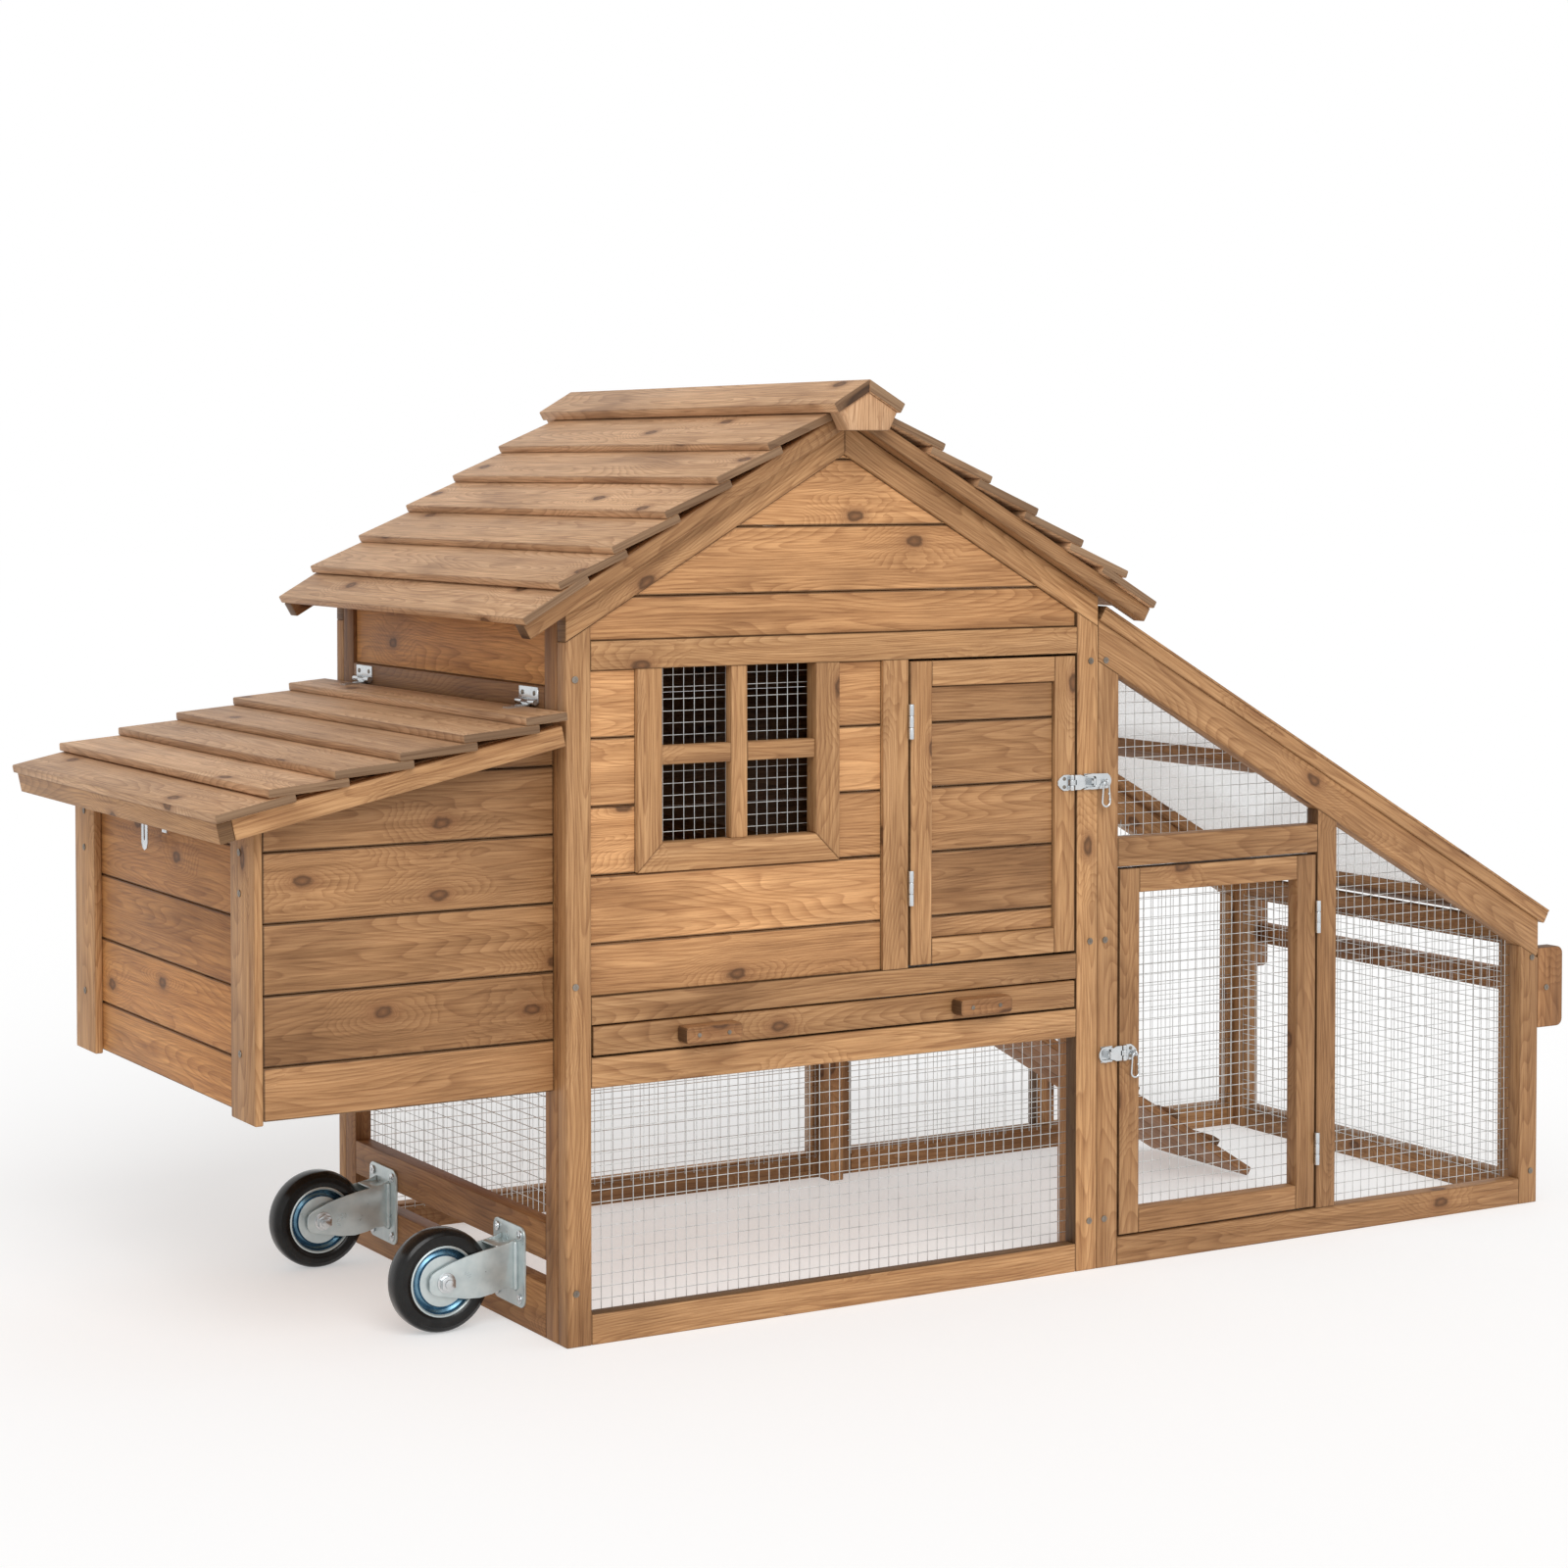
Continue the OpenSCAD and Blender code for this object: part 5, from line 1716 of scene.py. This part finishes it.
@dataclass(frozen=True)
class Castor:
    """A fixed castor: a screwed plate, a pressed fork and the axle bolt."""

    y: float
    x: float = -84.0
    z: float = 55.5
    plate: Point = (37.5, 20.5, 106.5)
    corner: float = 10.0
    steel: float = 2.5
    inside: float = 16.5
    bend: Pair = (38.5, 90.5)
    bridge: Point = (-26.0, 84.5, 87.0)
    arm: tuple[Pair, ...] = (
        (-103.0, 50.0), (-103.0, 60.5), (-100.0, 65.5), (-94.0, 69.0), (-78.0, 75.5), (-60.0, 80.5), (-42.0, 84.0),
        (-24.0, 86.5), (-11.0, 89.0), (-2.5, 92.5), (-2.5, 36.0), (-9.0, 40.5), (-18.0, 40.5), (-30.0, 37.0),
        (-45.0, 34.6), (-62.0, 35.6), (-80.0, 39.5), (-95.0, 43.0), (-100.5, 45.5))

    @property
    def out(self) -> float:
        """Distance of the fork's outer faces from its middle."""
        return self.inside + self.steel

    def rounded(self) -> list[Pair]:
        """Draw the plate's outline with its round corners.

        Returns:
            The outline, seen from the left end.
        """
        (half, low, high), radius, points = self.plate, self.corner, 6
        made = []
        for side, z, start in ((1, high - radius, 0), (-1, high - radius, 90), (-1, low + radius, 180),
                               (1, low + radius, 270)):
            for step in range(points):
                turn = math.radians(start + step * 90 / (points - 1))
                made.append((self.y + side * (half - radius) + radius * math.cos(turn), z + radius * math.sin(turn)))
        return made

    def fork_parts(self, smith: Smith) -> list[bpy.types.Object]:
        """Make the plate, the two arms, their bends and the bridge between them.

        Args:
            smith: The bench that makes them.

        Returns:
            The parts, in place.
        """
        sunk, lap = -self.steel + 0.5, self.inside + 0.5
        parts = [smith.plate(self.rounded(), 0.0, self.steel, across=True, edge=0.6)]
        for back in (self.y - self.inside, self.y + self.out):
            parts.append(smith.plate(self.arm, back, self.steel, edge=0.8))
        for side in (-1, 1):
            near, far = sorted((self.y + side * (self.out - 1.0), self.y + side * (self.out + 4.0)))
            parts.append(smith.bar((-7.0, near, self.bend[0]), (sunk, far, self.bend[1]), 2.4))
        left, low, high = self.bridge
        return parts + [smith.bar((left, self.y - lap, low), (sunk, self.y + lap, high), 1.0)]

    def bolt_parts(self, smith: Smith) -> list[bpy.types.Object]:
        """Make the axle with its washers and nuts, and the plate's four screws.

        Args:
            smith: The bench that makes them.

        Returns:
            The parts, in place.
        """
        (half, low, high), inset = self.plate, (10.0, 9.0)
        parts = [smith.pin((self.x, self.y, self.z), 5.0, 2 * self.out + 20, Grain.Y)]
        for side in (-1, 1):
            parts.append(smith.pin((self.x, self.y + side * (self.out + 0.8), self.z), 10.5, 1.6, Grain.Y, 32))
            parts.append(smith.pin((self.x, self.y + side * (self.out + 4.6), self.z), 9.0, 6.0, Grain.Y, 6, 0.7))
            for z in (low + inset[1], high - inset[1]):
                head = (-self.steel - 0.9, self.y + side * (half - inset[0]), z)
                parts.append(smith.pin(head, 5.4, 1.8, Grain.X, 24, 0.8))
                parts.append(smith.pin((head[0] - 1.0, *head[1:]), 2.0, 1.0, Grain.X, 6, 0.1))
        return parts


@dataclass(frozen=True)
class DoorIron:
    """The ironmongery of one door: its hasp, the eye for its snap hook and its hinges."""

    side: str
    hasp: Hasp
    eye: Point
    hinge: float
    heights: Pair
    knuckle: Point = (3.0, 12.4, -3.2)
    leaf: Point = (0.45, 1.25, 10.8)
    wire: Pair = (3.1, 0.9)

    def hinges(self, smith: Smith) -> list[bpy.types.Object]:
        """Make the knuckles and the leaves in the gap beside the door.

        Args:
            smith: The bench that makes them.

        Returns:
            The parts, in place.
        """
        radius, length, y = self.knuckle
        left, right = sorted(self.hinge + self.hasp.way * reach for reach in self.leaf[:2])
        parts = []
        for z in self.heights:
            parts.append(smith.pin((self.hinge, y, z), radius, length, Grain.Z))
            parts.append(smith.bar((left, y, z - length / 2), (right, self.leaf[2], z + length / 2), 0.2))
        return parts

    def lug(self, smith: Smith) -> bpy.types.Object:
        """Bend the eye that the snap hook hangs in."""
        return smith.ring(self.eye, *self.wire, tilt(90))


@dataclass(frozen=True)
class LidIron:
    """The nest lid's hasp leaf and the wall plates of its hinges."""

    face: float = -335.9
    thick: float = 1.5
    axis: Point = (-336.6, 317.0, 560.8)
    tongue: tuple[Pair, ...] = ((308.0, 561.0), (308.0, 513.0), (311.0, 507.0), (317.0, 504.5), (323.0, 507.0),
                                (326.0, 513.0), (326.0, 561.0), (317.0, 561.5))
    slot: tuple[Pair, ...] = ((315.0, 545.0), (315.0, 518.0), (315.8, 515.6), (317.0, 515.0), (318.2, 515.6),
                              (319.0, 518.0), (319.0, 545.0), (317.0, 546.0))
    hinges: Pair = (83.0, 511.0)
    outline: tuple[Pair, ...] = ((-22.0, 664.0), (22.0, 664.0), (22.0, 677.0), (19.5, 680.0), (-19.5, 680.0),
                                 (-22.0, 677.0))
    wall: float = -0.1
    screw_steps: Pair = (-14.0, 14.0)
    screw_z: float = 673.5

    def leaf_parts(self, smith: Smith) -> list[bpy.types.Object]:
        """Make the hasp's slotted tongue and its knuckle."""
        return [smith.plate(self.tongue, self.face, self.thick, self.slot, True),
                smith.pin(self.axis, 2.4, 20.0, Grain.Y)]

    def screws(self) -> list[Point]:
        """Tell where the wall plates are screwed on."""
        return [(-1.9, y + step, self.screw_z) for y in self.hinges for step in self.screw_steps]

    def wall_plates(self, smith: Smith) -> list[bpy.types.Object]:
        """Make the hinges' wall plates and their screws.

        Args:
            smith: The bench that makes them.

        Returns:
            The parts, in place.
        """
        shapes = [[(y + reach, z) for reach, z in self.outline] for y in self.hinges]
        plates = [smith.plate(shape, self.wall, self.thick, across=True) for shape in shapes]
        return plates + [smith.pin(spot, 2.6, 1.0, Grain.X, 16) for spot in self.screws()]


@dataclass(frozen=True)
class Wheel:
    """A solid-tyred castor wheel on a pressed zinc hub.

    Its outlines give the radius and the distance from the middle of each point on one side.
    """

    y: float
    x: float = -84.0
    z: float = 55.5
    steps: int = 56
    recess: Pair = (26.8, 34.2)
    tread: tuple[Pair, ...] = ((37.6, 13.0), (39.0, 14.2), (44.0, 15.0), (48.6, 14.8), (49.4, 14.0), (51.6, 13.0),
                               (53.6, 10.6), (54.7, 7.0), (55.0, 2.4))
    rim: tuple[Pair, ...] = ((7.0, 12.4), (12.0, 12.6), (22.0, 12.2), (26.6, 11.0), (27.8, 8.0), (30.6, 6.6),
                             (33.4, 8.2), (34.6, 12.6), (36.0, 13.8), (37.6, 13.2))

    def spin(self, half: Sequence[Pair]) -> bpy.types.Object:
        """Spin a symmetric closed profile round the axle.

        Args:
            half: Radius and offset of the points on one side.

        Returns:
            The spun ring, in place.
        """
        profile = [*half, *((radius, -offset) for radius, offset in reversed(half))]
        deselect()
        bpy.ops.mesh.primitive_circle_add(vertices=len(profile), radius=1.0)
        ring = bpy.context.object
        for vertex, (radius, offset) in zip(ring.data.vertices, profile):
            vertex.co = at(self.x + radius, self.y + offset, self.z)
        with editing():
            pick()
            bpy.ops.mesh.spin(steps=self.steps, angle=math.tau, center=at(self.x, self.y, self.z), axis=(0, 1, 0))
            pick()
            bpy.ops.mesh.remove_doubles(threshold=0.05 * MM)
            bpy.ops.mesh.normals_make_consistent(inside=False)
        return ring

    def paint_recess(self, hub: bpy.types.Object, tint: bpy.types.Material) -> None:
        """Give the hub's pressed ring its blue tint.

        Args:
            hub: The hub.
            tint: The blue finish.
        """
        hub.data.materials.append(tint)
        middle = at(self.x, self.y, self.z)
        for face in hub.data.polygons:
            reach = math.hypot(face.center.x - middle.x, face.center.z - middle.z) / MM
            if self.recess[0] < reach < self.recess[1]:
                face.material_index = 1


class Studio:
    """The pale floor, the soft light and the camera."""

    FOCAL = 75.903
    CAMERA = (-1532.83, -3019.18, 908.75)
    HEADING = 30.702
    DIP = 1.98154
    SHIFT = -0.12904
    WHITE = (1.0, 1.0, 1.0, 1.0)
    PALE = (0.66, 0.66, 0.66, 1.0)
    GLOW = 0.41
    AMBIENT = 0.6
    KEY = 1.5
    TOWARDS = (-0.2, -0.76, 0.62)
    SPREAD = 40.0

    def floor(self) -> None:
        """Lay the floor, which glows a little, so that it is nearly as pale as the background."""
        deselect()
        bpy.ops.mesh.primitive_plane_add(size=60.0)
        plane = bpy.context.object
        plane.name = "studio_floor"
        bench = NodeBench("studio_floor")
        bench.fix(Base_Color=self.PALE, Roughness=0.9, Specular_IOR_Level=0.0, Emission_Color=self.WHITE,
                  Emission_Strength=self.GLOW)
        plane.data.materials.append(bench.material)

    def world(self) -> None:
        """Light the room evenly, and show it white to the camera, in metal and through the sheet."""
        world = bpy.data.worlds.new("studio")
        bpy.context.scene.world = world
        world.use_nodes = True
        nodes, links = world.node_tree.nodes, world.node_tree.links
        nodes.clear()
        path = nodes.new("ShaderNodeLightPath")
        seen = path.outputs["Is Camera Ray"]
        for kind in ("Is Glossy Ray", "Is Transmission Ray"):
            either = nodes.new("ShaderNodeMath")
            either.operation = "MAXIMUM"
            links.new(seen, either.inputs[0])
            links.new(path.outputs[kind], either.inputs[1])
            seen = either.outputs[0]
        blend = nodes.new("ShaderNodeMixShader")
        links.new(seen, blend.inputs[0])
        for index, strength in ((1, self.AMBIENT), (2, 1.0)):
            light = nodes.new("ShaderNodeBackground")
            light.inputs["Color"].default_value = self.WHITE
            light.inputs["Strength"].default_value = strength
            links.new(light.outputs[0], blend.inputs[index])
        links.new(blend.outputs[0], nodes.new("ShaderNodeOutputWorld").inputs["Surface"])

    def key(self) -> None:
        """Add a broad soft key light."""
        lamp = bpy.data.lights.new("key", "SUN")
        lamp.energy = self.KEY
        lamp.angle = math.radians(self.SPREAD)
        sun = bpy.data.objects.new("key", lamp)
        sun.rotation_euler = Vector(self.TOWARDS).to_track_quat("Z", "Y").to_euler()
        bpy.context.collection.objects.link(sun)

    def camera(self) -> None:
        """Set up the camera at the picture's own angle."""
        lens = bpy.data.cameras.new("camera")
        lens.sensor_width = 36.0
        lens.lens = self.FOCAL
        lens.shift_y = self.SHIFT
        lens.clip_end = 200.0
        eye = bpy.data.objects.new("camera", lens)
        eye.location = at(*self.CAMERA)
        eye.rotation_euler = (math.radians(90 - self.DIP), 0.0, math.radians(-self.HEADING))
        bpy.context.collection.objects.link(eye)
        bpy.context.scene.camera = eye

    def set_up(self) -> None:
        """Set up the whole studio."""
        for step in (self.floor, self.world, self.key, self.camera):
            step()
        bpy.context.scene.view_settings.view_transform = "Standard"


class Coop:
    """The whole coop: its finishes, its sub-assemblies and the pieces made from them."""

    SEED = 41
    NET_LAP = 6.0

    def __init__(self) -> None:
        """Mix the finishes and lay out the sub-assemblies."""
        self.mix_woods()
        self.mix_metals()
        self.bench = Joinery(self.SEED)
        self.smith = Smith()
        self.house = House()
        self.roof = Roof(self.house)
        self.run = Run(self.house)
        self.nest = Nest()
        self.tray = Tray()
        self.ramp = Ramp(shift(680, 293, 287) @ tilt(32.04))
        self.house_door = Door((420.5, 640.5), (364.5, 697.5))
        self.run_door = Door((703.5, 989.5), (34.5, 452.8))
        self.castors = (Castor(132.0), Castor(462.0))
        self.wheels = {"front": Wheel(132.0), "back": Wheel(462.0)}
        self.lid_iron = LidIron()
        self.door_iron = (
            DoorIron("house", Hasp(634.0, 555.0, 1, 54.0), (678.0, -7.4, 554.0), 419.25, (450.0, 632.0)),
            DoorIron("run", Hasp(708.5, 243.6, -1, 36.0), (721.5, -5.4, 242.6), 990.75, (104.0, 379.0)))

    def mix_woods(self) -> None:
        """Mix the stains: light, middle and dark streaks of each."""
        self.wall = WoodFinish("wall_boards", (0.75, 0.425, 0.198), (0.62, 0.335, 0.15), (0.45, 0.226, 0.092)).build()
        self.deep = WoodFinish("deep_boards", (0.47, 0.265, 0.125), (0.39, 0.21, 0.094), (0.28, 0.142, 0.058)).build()
        # A darker copy of the wall stain, painting shade on the nest box's end.
        self.shady = WoodFinish("shady_boards", (0.6, 0.3, 0.108), (0.49, 0.23, 0.078), (0.37, 0.158, 0.049)).build()
        # A lighter copy of the wall stain, painting light on the left end's boards.
        self.eave = WoodFinish("painted_light_end_boards", (0.86, 0.455, 0.17), (0.72, 0.36, 0.128), (0.54, 0.25, 0.083)).build()
        # A darker copy of the frame stain, painting shade on the left end's frame.
        self.shade = WoodFinish("shade_frame", (0.4, 0.205, 0.083), (0.32, 0.158, 0.06), (0.235, 0.105, 0.037)).build()
        self.fence = WoodFinish("run_boards", (0.49, 0.285, 0.138), (0.4, 0.22, 0.1), (0.295, 0.15, 0.063)).build()
        self.frame = WoodFinish("frame_boards", (0.58, 0.34, 0.166), (0.47, 0.262, 0.119), (0.35, 0.178, 0.075)).build()
        self.roofing = WoodFinish("roof_boards", (0.71, 0.465, 0.28), (0.6, 0.37, 0.21), (0.46, 0.265, 0.14)).build()
        # Darker wood of the finger blocks; on the handle and the ramp it paints shade.
        self.dark = WoodFinish("dark_blocks", (0.4, 0.21, 0.095), (0.32, 0.16, 0.068), (0.23, 0.11, 0.044)).build()

    def mix_metals(self) -> None:
        """Mix the metals, the rubber and the clear sheet."""
        self.zinc = MetalFinish("bright_zinc", (0.66, 0.68, 0.69), (0.55, 0.58, 0.6), 0.24).build()
        self.plated = MetalFinish("plated_castor", (0.57, 0.63, 0.63), (0.46, 0.53, 0.54), 0.3, 0.6).build()
        self.blue = MetalFinish("blue_zinc", (0.16, 0.3, 0.4), (0.06, 0.14, 0.22), 0.26).build()
        self.dull = MetalFinish("dull_screw", (0.3, 0.26, 0.22), (0.16, 0.13, 0.1), 0.45).build()
        self.wire = MetalFinish("galvanised_wire", (0.7, 0.71, 0.7), (0.5, 0.5, 0.49), 0.4).build()
        self.rubber = RubberFinish("black_rubber", (0.008, 0.008, 0.008), (0.018, 0.018, 0.017)).build()
        self.clear = SheetFinish("clear_sheet", (0.88, 0.9, 0.9), 0.32).build()

    def build_house(self) -> None:
        """Build the house's walls and frames; the back's inner faces get painted shade, so that the window looks dark.
        """
        house, make, depth = self.house, self.bench.boards, self.house.depth
        make("House_front_frame", house.panel(True), self.frame)
        make("House_front_boards", house.front_rows(), self.wall)
        make("Window_frame", house.window_parts(), self.frame)
        back = [replace(spec.behind(depth), dim=(0, -1, 0), painted_shade=0.6) for spec in house.panel(False)]
        make("House_back_frame", back, self.frame)
        make("House_back_boards", [spec.behind(depth) for spec in house.back_rows()], self.wall)
        # The left end's frame gets painted shade through a darker copy of the frame stain.
        make("Left_end_frame", house.left_end(), self.shade)
        # The left end's boards get painted light through a lighter copy of the wall stain.
        make("Left_end_boards", house.left_rows(), self.eave)
        make("Partition_frame", house.partition(), self.frame)
        make("Partition_boards", house.partition_rows(), self.wall)

    def build_perch(self) -> None:
        """Turn the round perch and ease its ends."""
        spec = Plank(*self.house.perch, Grain.Y)
        low, high = Vector(spec.lo), Vector(spec.hi)
        size = high - low
        perch = self.smith.pin((low + high) / 2, size.x / 2, size.y, Grain.Y, 32, 2.0)
        self.bench.mark_grain(perch, HOUSE_TO_FRAME, spec)
        self.bench.assemble("Perch", [perch], self.frame, Slot.WOOD)

    def build_roof(self) -> None:
        """Build the house roof."""
        make = self.bench.boards
        make("Roof_left_boards", self.roof.slope(-1), self.roofing)
        make("Roof_right_boards", self.roof.slope(1), self.roofing)
        make("Bargeboards", self.roof.bargeboards(), self.fence)
        make("Ridge_cap", self.roof.ridge_parts(), self.roofing)

    def build_doors(self) -> None:
        """Build the two doors."""
        make, house = self.bench.boards, self.house
        make("House_door_frame", self.house_door.members(), self.frame, "house_door")
        rows = house.rows(*self.house_door.inside(), house.inset, house.head[0])
        make("House_door_boards", rows, self.deep, "house_door")
        make("Run_door_frame", self.run_door.members(), self.fence, "run_door")

    def build_nest(self) -> None:
        """Build the nest box and its lid."""
        make, nest = self.bench.boards, self.nest
        make("Nest_sides", nest.sides(), self.deep, node="nest_side_boards")
        # The nest box's end gets painted shade through a darker copy of the wall stain.
        make("Nest_end", nest.end(), self.shady, node="nest_end_boards")
        make("Nest_posts", nest.posts(), self.frame)
        make("Nest_floor", nest.floor_rows(), self.wall)
        make("Nest_divider", nest.dividers(), self.wall)
        make("Lid_boards", nest.lid_rows(), self.roofing, "nest_lid")
        make("Lid_battens", nest.battens(), self.frame, "nest_lid")

    def build_run(self) -> None:
        """Build the run, its roof frame and the handle."""
        make, run, depth = self.bench.boards, self.run, self.house.depth
        make("Run_front_frame", run.side(True), self.fence)
        make("Run_back_frame", [spec.behind(depth) for spec in run.side(False)], self.fence)
        make("Run_end_frame", run.end(), self.fence)
        make("Run_roof_frame", run.roof_parts(), self.fence)
        cheeks = [self.bench.saw_rounded(spec, 9.0, run.right + 20) for spec in run.cheeks()]
        # The handle gets painted shade through the darker stain.
        self.bench.assemble("Handle_cheeks", cheeks, self.dark, Slot.WOOD)
        make("Handle_bar", [Plank(*run.grip, Grain.Y, edge=4.0)], self.dark)

    def build_tray_and_ramp(self) -> None:
        """Build the tray, its runners and the ramp."""
        make, join_up, tray = self.bench.boards, self.bench.assemble, self.tray
        make("Tray_front", tray.face(), self.frame, "tray")
        blocks = [self.bench.saw_rounded(spec, 5.0) for spec in tray.fingers()]
        join_up("Tray_finger_blocks", blocks, self.dark, Slot.WOOD, "tray", "tray_handles")
        heads = [self.smith.pin(spot, 2.4, 1.0, Grain.Y, 16) for spot in tray.screws()]
        join_up("Tray_block_screws", heads, self.dull, Slot.STEEL, "tray")
        make("Tray_pan", tray.pan_parts(), self.wall, "tray")
        make("Tray_runners", tray.runners(), self.frame)
        # The ramp gets painted shade through the darker stain.
        make("Ramp_board", self.ramp.board(), self.dark, "ramp")
        make("Ramp_cleats", self.ramp.cleats(), self.dark, "ramp")

    def build_nets(self) -> None:
        """Weave every wire net."""
        laid = (self.run.under_rail(self.NET_LAP),)
        base, window = ((23.0, 649.0), (26.0, 273.0)), ((107.0, 306.0), (511.0, 706.0))
        near, far, cross = (695.0, 998.0), (1015.0, 1320.0), (43.0, 551.0)
        low, high, front, back = 26.0, 760.0, 20.0, 574.0
        nets = {
            "House_front_nets": [Net(*base, front), Net(*window, front)],
            "House_back_net": [Net(*base, back, inward=-1)],
            "Left_end_net": [Net(cross, (115.0, 273.0), front, True)],
            "Run_front_nets": [Net(near, (482.0, high), front, cuts=laid), Net(far, (low, 600.0), front, cuts=laid)],
            "Run_back_net": [Net(bay, (low, high), back, inward=-1, cuts=laid) for bay in (near, far)],
            "Run_end_net": [Net(cross, (low, 323.0), 1323.0, True, -1)],
            "Run_door_net": [Net(*self.run_door.inside(self.NET_LAP), self.run_door.thick)]}
        for name, panels in nets.items():
            body = "run_door" if name == "Run_door_net" else "coop"
            self.bench.assemble(name, [net.weave() for net in panels], self.wire, Slot.WIRE, body)

    def build_wheels(self) -> None:
        """Spin the two wheels."""
        make = self.bench.assemble
        for side, wheel in self.wheels.items():
            body, label = f"{side}_wheel", side.capitalize()
            make(f"{label}_tyre", [wheel.spin(wheel.tread)], self.rubber, Slot.TYRE, body)
            hub = make(f"{label}_hub", [wheel.spin(wheel.rim)], self.plated, Slot.STEEL, body)
            wheel.paint_recess(hub, self.blue)

    def build_door_iron(self) -> None:
        """Make the doors' hasps, hinges and snap hooks; the house hook hangs on the leaf, the run hook on the base."""
        make, smith = self.bench.assemble, self.smith
        for door in self.door_iron:
            side, label = door.side, door.side.capitalize()
            fixed, leaf = door.hasp.base_parts(smith) + door.hinges(smith), door.hasp.leaf_parts(smith)
            (leaf if door.hasp.way > 0 else fixed).append(door.lug(smith))
            iron = make(f"{label}_door_hardware", fixed, self.zinc, Slot.STEEL, f"{side}_door",
                        f"{side}_door_ironmongery")
            self.bench.tint(iron, self.dull, door.hasp.screws(), 2.6)
            make(f"{label}_hasp_leaf", leaf, self.zinc, Slot.STEEL, f"{side}_latch")
            make(f"{label}_snap_hook", smith.hook(f"{side}_hook"), self.zinc, Slot.STEEL, f"{side}_snap_hook",
                 f"{side}_hook")

    def build_castors(self) -> None:
        """Make the castors' forks, and their bolts and screws."""
        make, smith = self.bench.assemble, self.smith
        forks = [part for castor in self.castors for part in castor.fork_parts(smith)]
        make("Castor_forks", forks, self.plated, Slot.STEEL)
        bolts = [part for castor in self.castors for part in castor.bolt_parts(smith)]
        make("Castor_bolts", bolts, self.zinc, Slot.STEEL)

    def build_lid_iron(self) -> None:
        """Make the lid's hasp leaf, and screw its hinges' wall plates above the lid."""
        make, iron = self.bench.assemble, self.lid_iron
        make("Lid_hasp_leaf", iron.leaf_parts(self.smith), self.zinc, Slot.STEEL, "lid_latch")
        plates = make("Lid_hinge_plates", iron.wall_plates(self.smith), self.zinc, Slot.STEEL)
        self.bench.tint(plates, self.dull, iron.screws(), 3.0)

    def dress_cad(self) -> None:
        """Finish the CAD nodes that stay: soften their edges and give them their materials."""
        finishes = {"frame_screws": self.dull, "run_roof_sheet": self.clear, "lid_hinge_leaves": self.zinc,
                    "post_ironmongery": self.zinc}
        for name, finish in finishes.items():
            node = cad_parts[name]
            node.data.materials.clear()
            node.data.materials.append(finish)
            weld = node.modifiers.new("weld", "WELD")
            weld.merge_threshold = 0.01 * MM
            soft = node.modifiers.new("soft edges", "BEVEL")
            soft.width = 0.3 * MM
            soft.segments = 2
            soft.limit_method = "ANGLE"
            soft.angle_limit = math.radians(40)
            LOG.info("%s keeps its CAD form in %s", name, finish.name)

    def build(self) -> None:
        """Build every sub-assembly."""
        for step in (self.build_house, self.build_perch, self.build_roof, self.build_doors, self.build_nest,
                     self.build_run, self.build_tray_and_ramp, self.build_nets, self.build_wheels,
                     self.build_door_iron, self.build_castors, self.build_lid_iron, self.dress_cad):
            LOG.info("%s", step.__name__)
            step()


def main() -> None:
    """Build the coop and set up the studio."""
    Coop().build()
    Studio().set_up()


if __name__ == "__main__":
    main()
